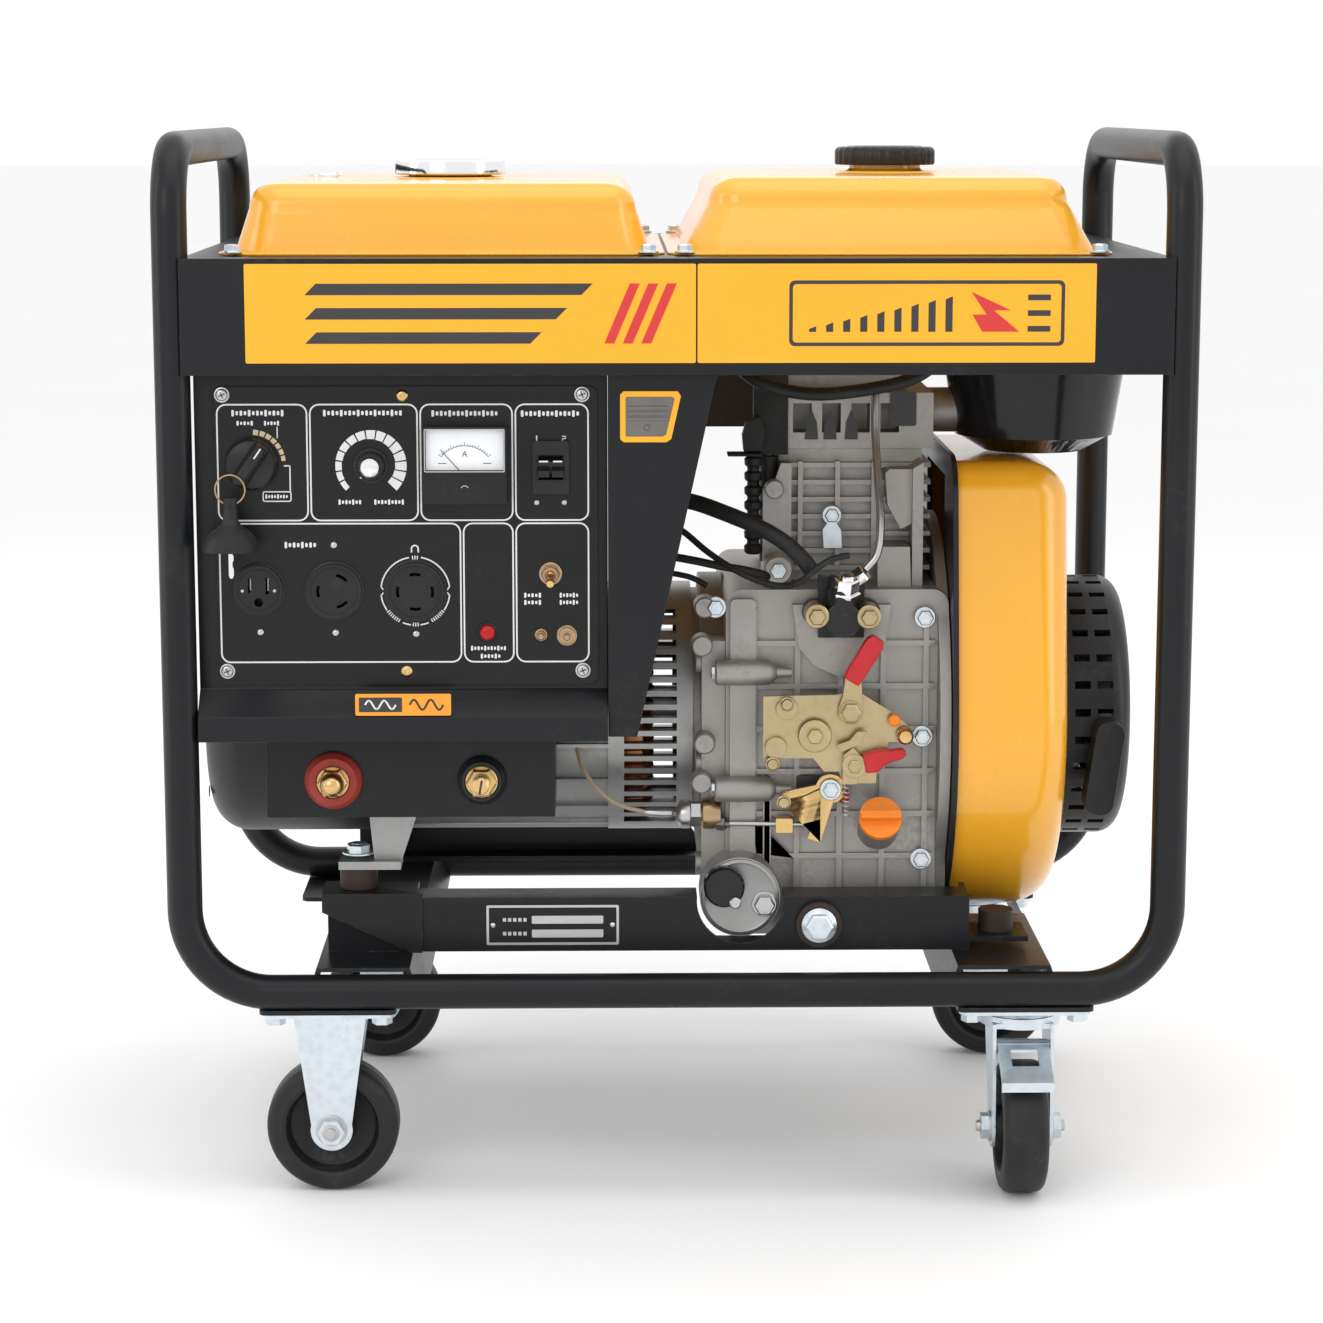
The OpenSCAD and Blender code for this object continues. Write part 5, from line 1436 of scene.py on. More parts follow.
    def toggles(self) -> None:
        """Breaker handles and the toggle lever."""
        carry("breaker_toggle", Finish.plastic, 0.5)
        carry("toggle_lever", Finish.brass, 0.3)
        bu, bv = self.breaker
        tip = Shape()
        for side in (-1, 1):
            u = bu + side * 5.0
            tip.block((self.x0 + u - 3.2, self.face - 11.35, self.z0 + bv + 4.6),
                      (self.x0 + u + 3.2, self.face - 10.4, self.z0 + bv + 5.6))
        tip.make("breaker_handle_marks", "breaker", "black_plastic", Finish.white)

    def sockets(self) -> None:
        """Receptacle faces, their rims, screws and contact leaves."""
        carry("receptacles", Finish.plastic, 0.35)
        rims, contacts = Shape(), Shape()
        for place, r in ((self.duplex, 17.5), (self.three_slot, 19.5), (self.four_slot, 21.0)):
            rims.turned(self.on(place, 0), FRONT,
                        [(0, r + 0.1), (0, r + 2.0), (0.9, r + 1.8), (1.5, r + 0.8), (1.5, r + 0.1)], 72,
                        True)
            rims.turned(self.on(place, 3.9), FRONT,
                        [(0, r - 3.2), (0.55, r - 3.0), (0.55, r - 2.4), (0, r - 2.2)], 72, True)
        rims.make("socket_rims", "frame", "black_plastic", Finish.plastic)
        du, dv = self.duplex
        for u in (du - 6.3, du + 6.3):
            contacts.block(self.on((u - 0.4, dv - 1.5), -8), self.on((u + 0.4, dv + 7.5), -3))
        for spot in ((du - 11.5, dv - 0.5), (du + 11.5, dv - 0.5)):
            contacts.dome(self.on(spot, 3.9), FRONT, 1.3, 0.7, 20)
        contacts.make("socket_contacts", "frame", "brass_parts", Finish.steel)

    def key(self) -> None:
        """Split ring, rubber bell and key blade."""
        spot = Spot("key_ring")
        ring = Shape()
        line = []
        for k in range(97):
            a = 4 * math.pi * k / 96
            line.append((spot.mid.x + 10.5 * math.cos(a), spot.mid.y - 0.55 + 1.1 * k / 96,
                         spot.mid.z + 10.5 * math.sin(a)))
        ring.rod(line, 0.62, 12)
        ring.make("key_ring_split", "ring", "brass_parts", Finish.bronze, 0.0, ("key_ring",))
        top = spot.mid.z - 13.1
        x, y = spot.mid.x, spot.mid.y
        bell = Shape()
        outer = [(0.0, 20.0), (1.2, 20.0), (5.0, 19.2), (9.5, 17.0), (13.5, 13.4), (16.5, 9.4), (19.0, 6.6),
                 (22.5, 5.3), (30.0, 4.9), (36.0, 4.9), (37.3, 4.2), (37.5, 0.05)]
        inner = [(17.0, 0.05), (16.4, 6.2), (12.0, 12.4), (8.0, 15.8), (4.0, 17.9), (0.0, 18.5)]
        bell.turned((x, y, top - 30), UP, inner + outer, 64)
        bell.make("key_fob_bell", "fob", "rubber_black", Finish.rubber, 0.0, ("key_fob",))
        blade = Shape()
        teeth = [(-1.9, top - 13), (-1.9, top - 48), (-1.0, top - 50), (0.6, top - 50), (1.6, top - 48)]
        for k in range(6):
            teeth += [(1.6 - 0.8 * (k % 2), top - 46 + 4.5 * k), (1.6 - 0.8 * (k % 2), top - 43 + 4.5 * k)]
        teeth += [(1.9, top - 18), (1.9, top - 13)]
        blade.prism([(x + u, v) for u, v in teeth], y - 0.8, y + 0.8)
        blade.make("key_blade", "fob", "zinc", Finish.chrome)

    def badges(self) -> None:
        """Small amber badge on the sill and the framed vent label on the side cover."""
        sill = Spot("control_box").low.y
        badge, dark = Shape(), Shape()
        badge.prism(rounded(-231, 364.6, -162.5, 380.4, 1.2), sill - 0.25, sill)
        badge.make("sill_badge", "frame", "enamel_yellow", Finish.amber)
        dark.prism(rounded(-228.4, 367.2, -197.5, 377.8, 0.8), sill - 0.4, sill - 0.2)
        line = [(-192 + 24 * k / 24, 372.5 + 3.8 * math.sin(2 * math.pi * k / 12)) for k in range(25)]
        for a, b in zip(line, line[1:]):
            dark.prism(bar(a, b, 1.5), sill - 0.4, sill - 0.2)
        dark.make("sill_badge_dark", "frame", "black_plastic", Finish.black_ink)
        wave = Shape()
        line = [(-224 + 22 * k / 24, 372.5 + 3.2 * math.sin(4 * math.pi * k / 24)) for k in range(25)]
        for a, b in zip(line, line[1:]):
            wave.prism(bar(a, b, 1.3), sill - 0.55, sill - 0.35)
        wave.make("sill_badge_wave", "frame", "black_plastic", Finish.white)
        face = Spot("side_cover").low.y
        outer = [(-38.5, 560), (-8, 560), (-4.6, 562.4), (2.2, 593), (0, 596.4), (-38.5, 596.4), (-41, 594),
                 (-41, 562.4)]
        inner = [(-37.0, 564.2), (-11, 564.2), (-8.4, 565.4), (-2.4, 591), (-4.0, 592.4), (-36.2, 592.4),
                 (-37.0, 591.6), (-37.0, 565)]
        frame_ring, vent = Shape(), Shape()
        frame_ring.border(outer, inner, face - 1.2, face)
        frame_ring.make("vent_frame", "frame", "enamel_yellow", Finish.decal, 0.5)
        vent.prism(inner, face - 0.4, face + 0.05)
        for z in (584.5, 580.6, 576.7):
            vent.prism(rounded(-35.5, z - 1.0, -6.5, z + 1.0, 0.8), face - 1.5, face - 0.3)
        vent.dome((-22, face - 0.4, 570.4), FRONT, 2.2, 1.4, 24)
        vent.make("vent_label", "frame", "zinc", Finish.iron, 0.1)

    def build(self) -> None:
        """Builds the control box's pieces."""
        self.carry_all()
        for step in (self.print_white, self.small_screws, self.selector_knob, self.current_knob,
                     self.meter_parts, self.fittings, self.toggles, self.sockets, self.key, self.badges):
            step()


@dataclass
class WeldOutputs(Assembly):
    """Terminal box with the two weld output studs."""

    red_x: float = -250.0
    black_x: float = -142.0
    stud_z: float = 311.2
    carried = {"terminal_box": (Finish.powder, 0.8)}

    def insulator(self, x: float, body: str, slot: str, finish: Finish, r: float, node: str) -> None:
        """One flanged bush with its stepped and dished face.

        Args:
            x: Its place across.
            body: The body it rides on.
            slot: The record's material slot.
            finish: Its finish.
            r: Radius of its flange.
            node: The node that it replaces.
        """
        y = Spot("terminal_box").low.y
        at = (x, y, self.stud_z)
        bush = Shape()
        bush.turned(at, FRONT, [(-8, 6.1), (-8, 10), (0, 10), (0, r), (3.0, r), (5.2, r - 0.8),
                                (7.0, r - 2.6), (9.0, r - 3.6), (9.0, 12.4), (7.4, 12.0), (7.4, 6.1)], 72,
                    True)
        bush.make(node + "_turned", body, slot, finish, 0.0, (node,))

    def studs(self) -> None:
        """Brass studs with a domed nut on the red side and a slotted one on the black side, its slot a black
        sheet of painted shade.
        """
        y = Spot("terminal_box").low.y
        brass = Shape()
        for x in (self.red_x, self.black_x):
            brass.turned((x, y - 7.5, self.stud_z), FRONT, [(0, 11.6), (1.4, 11.6), (1.8, 11)], 48)
            brass.turned((x, y - 9.2, self.stud_z), FRONT, [(0, 11.4), (5.2, 11.4), (6.6, 9.8)], 6)
            brass.turned((x, y + 8, self.stud_z), (0, 1, 0), [(0, 9.8), (6, 9.8)], 6)
            brass.turned((x, y + 14, self.stud_z), (0, 1, 0), [(0, 6), (2, 6)], 24)
        red = [(0, 6.0), (2.0, 6.0), (2.4, 8.6), (6.0, 8.2), (9.0, 6.8), (11.0, 4.4), (11.8, 2.0),
               (11.9, 0.1)]
        brass.turned((self.red_x, y - 15.4, self.stud_z), FRONT, red, 48)
        thread = [(0, 6.0)]
        for k in range(12):
            thread += [(0.6 + k, 6.0), (1.1 + k, 5.5)]
        brass.turned((self.black_x, y - 15.4, self.stud_z), FRONT,
                     [*thread, (12.6, 5.6), (13.2, 4.8), (13.2, 0.1)], 40)
        brass.make("weld_studs", "frame", "brass_parts", Finish.brass, 0.0, ("terminal_studs",))
        # Black sheet across the black stud's end: painted shade standing for its slot.
        painted_slot_shade = Shape()
        a = math.radians(80)
        z = self.stud_z
        painted_slot_shade.prism(bar((self.black_x - 5.2 * math.cos(a), z - 5.2 * math.sin(a)),
                       (self.black_x + 5.2 * math.cos(a), z + 5.2 * math.sin(a)), 1.6), y - 28.75, y - 27.6)
        painted_slot_shade.make("weld_stud_slot", "frame", "black_plastic", Finish.black_ink)

    def build(self) -> None:
        """Builds the weld outputs' pieces."""
        self.carry_all()
        self.insulator(self.red_x, "frame", "red_plastic", Finish.red_dull, 21.0, "insulator_red")
        self.insulator(self.black_x, "frame", "rubber_black", Finish.plastic, 18.0, "insulator_black")
        self.studs()


TANK_HOSE = [(40, -130, 612), (62, -140, 596), (96, -142, 588), (134, -140, 590), (172, -136, 598),
             (196, -130, 612)]


def hull_ring(circles: Sequence[tuple[float, float, float]], grow: float, count: int = 160) -> list[Point]:
    """The outline that wraps a set of circles, with points at even turns of its normal.

    Args:
        circles: Centre and radius of each circle.
        grow: Millimetres that the outline is moved outwards.
        count: Number of points.

    Returns:
        The outline.
    """
    ring = []
    for k in range(count):
        a = 2 * math.pi * (k + 0.5) / count
        n = (math.cos(a), math.sin(a))
        u, v, r = max(circles, key=lambda c: c[0] * n[0] + c[1] * n[1] + c[2])
        ring.append((u + (r + grow) * n[0], v + (r + grow) * n[1]))
    return ring


def corner_circles(mid: Point, half_x: float, half_y: float,
                   radius: float) -> list[tuple[float, float, float]]:
    """The four corner circles of a rounded rectangle."""
    return [(mid[0] + sx * (half_x - radius), mid[1] + sy * (half_y - radius), radius)
            for sx in (-1, 1) for sy in (-1, 1)]


@dataclass
class FuelTank(Assembly):
    """One pressed fuel tank: pan in the band, flange, leaning body, collar and neck."""

    node: str = "left_tank"
    mid: tuple[float, float] = (-168.5, 0.0)
    half: tuple[float, float] = (148.0, 178.0)
    flange: tuple[float, float] = (160.0, 187.0)
    lean: float = 9.0
    top: float = 741.2
    neck: tuple[float, float, float, float] = (0.0, -20.0, 30.0, 6.0)
    pan: tuple[float, float, float] = (140.0, 167.3, 20.0)
    rim_r: float = 26.0
    foot_r: float = 30.0
    foot_z: float = 695.5
    shoulder: float = 18.0
    sides: int = 6
    steps: int = 10

    def rings(self) -> list[list[Vector]]:
        """Every ring of the tank, from the pan's floor up and down into the neck.

        Returns:
            The rings, in metres.
        """
        rings: list[list[Vector]] = []

        def add(circles: Sequence[tuple[float, float, float]], z: float, grow: float = 0.0) -> None:
            """Adds one ring at a height."""
            rings.append([Vector((u, v, z)) * MM for u, v in hull_ring(circles, grow)])

        pan = corner_circles(self.mid, *self.pan)
        for grow, z in ((-9, 630.3), (-3, 632.2), (-0.6, 635.5), (0, 640), (0, 689.6)):
            add(pan, z, grow)
        rim = corner_circles(self.mid, *self.flange, self.rim_r)
        for grow, z in ((-2.0, 690.3), (-0.3, 690.5), (0, 691.0), (0, 691.6), (-0.4, 692.1), (-2.0, 692.2)):
            add(rim, z, grow)
        foot = corner_circles(self.mid, *self.half, self.foot_r)
        for grow, z in ((3.0, 692.4), (1.0, 693.2), (0.0, self.foot_z)):
            add(foot, z, grow)
        turn_z = self.top - self.shoulder
        for k in range(1, self.sides + 1):
            t = k / self.sides
            half = [side - self.lean * t for side in self.half]
            add(corner_circles(self.mid, *half, self.foot_r - 6 * t),
                self.foot_z + (turn_z - self.foot_z) * t)
        last = corner_circles(self.mid, self.half[0] - self.lean, self.half[1] - self.lean, self.foot_r - 6)
        for k in range(1, self.steps + 1):
            a = math.pi / 2 * k / self.steps
            add(last, turn_z + self.shoulder * math.sin(a), -self.shoulder * (1 - math.cos(a)))
        dx, dy, r, rise = self.neck
        at = (self.mid[0] + dx, self.mid[1] + dy)
        for radius, z in ((r + 16, 0), (r + 14.4, 0.4), (r + 13.4, 1.4), (r + 4, 1.5), (r + 1.2, 2.2),
                          (r, 3.4), (r, rise - 0.6), (r - 0.6, rise), (r - 2, rise), (r - 2.6, rise - 0.8),
                          (r - 2.6, -30)):
            add([(*at, radius)], self.top + z)
        return rings

    def build(self) -> None:
        """Builds the tank."""
        Shape().skin(self.rings()).make(self.node + "_pressed", "frame", "enamel_yellow", Finish.enamel, 0.0,
                                        (self.node,))


RIGHT_TANK = FuelTank("right_tank", (153.6, 0.0), (147.0, 180.0), (160.0, 190.0), 17.0, 745.2,
                      (8.0, -10.0, 27.0, 12.0))


@dataclass
class Generator(Assembly):
    """Generator: dark end cover, ribbed housing, slotted drive end, windings, foot and earth wire."""

    mid_z: float = 332.2
    coils: int = 36
    coil_r: float = 72.0
    carried = {"generator_cover": (Finish.crackle, 0.8), "generator_body": (Finish.cast_fine, 0.7),
               "rotor": (Finish.stator, 0.3)}

    def windings(self) -> None:
        """Copper end windings behind the slots, laced with cord."""
        coil = Shape()
        for k in range(self.coils):
            a = 2 * math.pi * k / self.coils
            mid = (-32.0, self.coil_r * math.cos(a), self.mid_z + self.coil_r * math.sin(a))
            coil.rod([(mid[0] - 16, mid[1] * 0.99, mid[2]), (mid[0] - 8, mid[1] * 1.06,
                      self.mid_z + (mid[2] - self.mid_z) * 1.06), (mid[0] + 6, mid[1] * 1.05,
                      self.mid_z + (mid[2] - self.mid_z) * 1.05), (mid[0] + 12, mid[1] * 0.95,
                      self.mid_z + (mid[2] - self.mid_z) * 0.95)], 6.6, 10)
        coil.make("end_windings", "frame", "brass_parts", Finish.copper)

    def earth_wire(self) -> None:
        """Earth wire from the housing to the crankcase, with its crimped lug and the rubber-sleeved stud."""
        Shape().rod(smooth_route([(-74, -92, 317), (-70, -104, 304), (-62, -110, 292), (-50, -114, 281),
                                  (-36, -117, 274.5), (-21, -119, 271.5)]), 1.7, 12).make(
            "earth_wire", "frame", "rubber_black", Finish.wire)
        lug = Shape()
        lug.rod([(-23, -119, 272), (-19, -119.5, 271.4), (-9, -121, 271), (-2, -122, 271)],
                [2.4, 3.6, 3.4, 2.6], 14)
        lug.turned((1, -122, 270.5), (1, 0, 0), [(0, 4.5), (3, 10.2), (4.5, 10.8), (10, 10.8), (11, 9.6)],
                   32)
        lug.turned((12, -122, 270.5), (1, 0, 0), [(0, 10.2), (7, 10.2), (7.8, 9)], 6)
        lug.make("earth_lug", "frame", "zinc", Finish.steel, 0.2)
        Shape().turned((19, -122, 270.5), (1, 0, 0), [(0, 9), (2, 11.2), (9, 11.6), (15, 10.2), (16, 8)],
                       40).make("earth_isolator", "frame", "brass_parts", Finish.bronze)
        tip = Shape()
        tip.turned((32, -126, 264), (0.9, -0.35, 0), [(0, 5.4), (5, 5.4), (6.4, 4.6), (6.4, 0.4)], 6)
        tip.turned((38, -128.4, 264), (0.9, -0.35, 0), [(0, 2.6), (3.4, 2.2)], 20)
        tip.make("earth_tip", "frame", "steel_parts", Finish.iron)

    def fixings(self) -> None:
        """Cover screws and the foot's bolt."""
        heads = Shape()
        for k in range(4):
            a = math.radians(45 + 90 * k)
            heads.hexagon((-356.5, 80 * math.cos(a), self.mid_z + 80 * math.sin(a)), (-1, 0, 0), 5.0, 0.3)
        heads.hexagon((-236, -145, 246.4), UP, 9.0, 6.0, 12.0)
        heads.make("generator_fixings", "frame", "zinc", Finish.zinc)

    def build(self) -> None:
        """Builds the generator's pieces."""
        self.carry_all()
        self.windings()
        self.earth_wire()
        self.fixings()


@dataclass
class Engine(Assembly):
    """Engine block with its cast relief, pump, pipes, strainer and dipstick."""

    face: float = -120.0
    far: float = 110.0
    strainer: tuple[float, float] = (48.0, 213.5)
    carried = {"crankcase": (Finish.cast, 0.9), "gear_cover": (Finish.cast, 1.4),
               "cylinder_head": (Finish.cast, 1.0), "crankshaft": (Finish.steel, 0.3),
               "muffler": (Finish.heat, 1.2)}

    def relief(self) -> None:
        """Cast columns, pads, bosses and the ribs of the cylinder, with flat black patches as painted shade
        in the head's openings.
        """
        cast = Shape()
        for x in (95.5, 123.6, 151.0):
            cast.block((x - 1.8, -73, 452), (x + 1.8, -60, 531))
        cast.prism([(67, 436), (88, 436), (88, 531), (80, 531), (76, 519), (67, 511)], -86, -58)
        cast.prism([(158, 524), (161, 527), (178, 527), (178, 486), (170, 482), (160, 500)], -92, -60)
        cast.prism([(152, 470), (176, 470), (178, 414), (152, 414)], -104, -60)
        cast.prism([(178, 436), (186, 436), (186, 533), (178, 528)], -100, -60)
        cast.turned((75, -84, 512), FRONT, [(0, 7.4), (9, 7.0), (10, 6.2)], 36)
        cast.turned((77, -100, 454), FRONT, [(0, 12.5), (14, 11), (15.5, 9.6)], 40)
        for x, z, r in ((20, 399, 8.5), (22, 325, 8.5), (20, 295, 8.5), (22, 428, 8.5)):
            cast.turned((x, self.face + 6, z), FRONT, [(0, r), (13, r - 0.6), (14.4, r - 1.8)], 36)
        for x0, x1, low, high in ((41, 60, 222, 434), (66, 72, 222, 300)):
            cast.prism(rounded(x0, low, x1, high, 4), self.face - 7, self.face + 2)
        for z in (379.5, 291.0):
            cast.turned((29.5, self.face - 10, z), (1, 0, 0),
                        [(0, 8), (1.2, 9.4), (20, 9.8), (40, 9.2), (43, 7.6), (46, 4.2), (57, 3.4)], 40)
        cast.prism([(87, 430), (92, 398), (104, 384), (122, 376), (146, 384), (156, 402), (160, 430)],
                   self.face - 9, self.face + 1)
        cast.make("cast_relief", "frame", "cast_aluminium", Finish.cast, 1.1)
        # Flat black patches where the head's openings are: painted shade, not real hollows.
        dark = Shape()
        dark.prism(rounded(163, 557, 183, 583, 2), -67.5, -66.2)
        for x in (99, 113, 129):
            dark.prism([(x, 547), (x + 10, 547), (x + 9, 560), (x + 5, 569), (x + 1, 560)], -67.2, -66.1)
        dark.prism([(91, 300), (110, 300), (118, 283), (118, 278), (91, 278)], self.face - 5.4,
                   self.face - 4.4)
        dark.make("head_openings", "frame", "heat_dark", Finish.black_ink)

    def bolts(self) -> None:
        """Bolts and screws on the block."""
        heads = Shape()
        for x, z in ((30, 428), (185, 236), (185, 330), (186, 420)):
            heads.hexagon((x, self.face - 4.2, z), FRONT, 6.2, 4.6, 8.0)
        heads.hexagon((29.6, self.face - 10, 379.5), (-1, 0, 0), 5.2, 3.0)
        heads.hexagon((29.6, self.face - 10, 291.0), (-1, 0, 0), 5.2, 3.0)
        heads.hexagon((77, -115.4, 454), FRONT, 6.4, 4.4)
        heads.turned((225, -128, 393), FRONT, [(-1, 9.2), (1.4, 9.2), (2.0, 8.4)], 36)
        heads.hexagon((225, -130, 393), FRONT, 6.6, 5.0)
        heads.hexagon((119, -78, 491), FRONT, 5.6, 4.2, 7.4)
        heads.prism([(113, 466), (127, 466), (126, 480), (122, 486), (122, 492), (116, 492), (116, 486),
                     (112, 480)], -80, -77.5)
        heads.make("block_bolts", "frame", "zinc", Finish.zinc, 0.3)

    def pump(self) -> None:
        """Injection pump with its union nuts, flange nuts and gasket."""
        carry("injection_pump", Finish.pump, 0.8)
        pump = Spot("injection_pump")
        front = pump.low.y
        nut = Shape()
        nut.turned((125, pump.mid.y - 6, 440.5), (0.06, -0.34, 0.94),
                   [(0, 11), (2.4, 11.6), (3.4, 10.6), (3.4, 9.8), (12.6, 9.8), (13.8, 8.4)], 6)
        nut.turned((125.7, pump.mid.y - 10, 452), (0.06, -0.34, 0.94), [(0, 6.4), (3.0, 6.2), (4.2, 5.0),
                                                                     (4.4, 0.3)], 32)
        nut.turned((134, pump.mid.y, 452), (0.75, -0.3, 0.55), [(0, 7.2), (7, 7.2), (8, 6)], 6)
        nut.make("pump_unions", "frame", "zinc", Finish.chrome, 0.2)
        gold = Shape()
        for x, z in ((103.6, 425.6), (142.0, 425.0)):
            gold.turned((x, front + 20, z), FRONT, [(0, 9.0), (21.4, 9.0), (22, 8.2)], 36)
            gold.hexagon((x, front - 2, z), FRONT, 6.4, 5.2)
        gold.make("pump_flange_nuts", "frame", "passivate_gold", Finish.gold, 0.2)
        Shape().prism([(97, 405), (150, 405), (147, 409.4), (100, 409.4)], -126.5, -124.5).make(
            "pump_gasket", "frame", "red_plastic", Finish.red_dull)
        pipe = Shape()
        pipe.rod(smooth_route([(140, -140, 458), (149, -138, 470), (152, -128, 492), (151, -112, 520),
                               (150, -96, 552), (150, -88, 584)]), 3.0, 14)
        pipe.make("injection_pipe", "frame", "steel_parts", Finish.steel)

    def strainer_parts(self) -> None:
        """Oil strainer cover with its black cap, plug and the drain plug."""
        x, z = self.strainer
        front = self.face - 32
        cover = Shape()
        cover.turned((x, front + 4, z), FRONT,
                     [(0, 30), (3.0, 30), (5.0, 28.6), (5.6, 26.4), (4.8, 25), (4.8, 0.5)], 72)
        cover.make("strainer_cover", "frame", "cast_aluminium", Finish.cast_fine)
        cap = Shape()
        cap.turned((x - 12, front, z + 9), FRONT, [(0, 15.6), (7, 15.2), (9, 13.6), (9.4, 0.4)], 56)
        cap.make("strainer_cap", "frame", "black_plastic", Finish.gloss, 0.0)
        metal = Shape()
        metal.turned((x - 4, front, z - 2), FRONT, [(0, 4.6), (12, 4.4), (13, 3.4), (13, 0.3)], 28)
        metal.hexagon((x + 18, front - 0.5, z - 5), FRONT, 8.0, 6.4, 9.4)
        metal.make("strainer_plugs", "frame", "zinc", Finish.steel, 0.2)

    def dipstick(self) -> None:
        """Filler plug with its wing, orange."""
        carry("dipstick", Finish.orange, 1.0)

    def column(self) -> None:
        """Sleeved loom that climbs beside the cylinder, and the black parts over it."""
        loom = Shape()
        steps = []
        for k in range(7):
            base = 462 + 11.0 * k
            steps += [(base, 4.6), (base + 1.6, 6.6), (base + 6.4, 6.9), (base + 8.2, 4.6)]
        loom.turned((59.5, -82, 0), UP, steps, 28)
        loom.turned((72, -70, 455), UP, [(0, 7), (80, 7)], 28)
        loom.prism([(52, 540), (66, 540), (68, 556), (64, 566), (54, 562), (51, 552)], -86, -72)
        loom.prism([(40, 536.5), (66, 536.5), (66, 538.5), (40, 538.5)], -90, -70)
        loom.prism([(64, 536), (86, 536), (86, 600), (60, 600), (60, 566)], -72, -56)
        loom.make("side_loom", "frame", "rubber_black", Finish.rubber, 0.5)

    def pipes(self) -> None:
        """Fuel pipes and wires, smooth along their runs."""
        runs = Shape()
        runs.rod(smooth_route([(-34, -110, 508), (-10, -114, 509), (14, -122, 506), (38, -136, 499),
                               (62, -148, 490), (80, -156, 480), (93, -158, 468), (100, -155, 458)]), 6.0,
                 24)
        runs.rod(smooth_route([(-12, -112, 494), (6, -120, 484), (24, -130, 470), (44, -142, 458),
                               (64, -150, 450), (80, -157, 448.5), (91, -165, 453), (102, -170, 463),
                               (114, -170, 470), (126, -166, 472)]), 2.4, 14)
        runs.rod(smooth_route([(-30, -112, 468), (-6, -114, 465), (14, -118, 462), (34, -120, 458),
                               (52, -120, 455), (66, -116, 451), (74, -108, 446.5)]), 3.1, 14)
        runs.rod(smooth_route([(-30, -108, 456), (-4, -112, 452), (12, -116, 449), (24, -118, 443)]), 2.2,
                 12)
        runs.rod(smooth_route(TANK_HOSE), 4.8, 20)
        runs.make("hoses_smooth", "frame", "rubber_black", Finish.rubber, 0.0, ("hoses",))

    def far_side(self) -> None:
        """Side cover, ribs and bolts on the far side, and the muffler's heat shield."""
        far = self.far
        cast, heads, shield = Shape(), Shape(), Shape()
        cast.prism(rounded(58, 246, 170, 402, 16), far - 2, far + 5)
        cast.prism(rounded(72, 260, 156, 388, 12), far + 4, far + 8)
        for x in (44, 184):
            cast.prism(rounded(x - 3, 196, x + 3, 428, 2), far - 2, far + 4)
        for z in (206, 222, 420):
            cast.prism(rounded(44, z - 2.5, 184, z + 2.5, 2), far - 2, far + 4)
        places = [(x, z) for x in (66, 114, 162) for z in (254, 394)]
        for x, z in places + [(x, z) for z in (302, 348) for x in (66, 162)]:
            heads.hexagon((x, far + 5, z), (0, 1, 0), 5.8, 4.4, 7.6)
        shield.border(rounded(6, 552, 144, 598, 10), rounded(12, 558, 138, 592, 6), 184, 186.5)
        for k in range(9):
            shield.prism(rounded(18 + 13.4 * k, 560, 25 + 13.4 * k, 590, 3), 183.4, 185.6)
        cast.make("far_side_cover", "frame", "cast_aluminium", Finish.cast, 1.0)
        heads.make("far_side_bolts", "frame", "zinc", Finish.zinc)
        shield.make("muffler_shield", "frame", "heat_dark", Finish.heat, 0.6)

    def build(self) -> None:
        """Builds the engine's pieces."""
        self.carry_all()
        self.relief()
        self.far_side()
        self.bolts()
        self.pump()
        self.strainer_parts()
        self.dipstick()
        self.column()
        self.pipes()


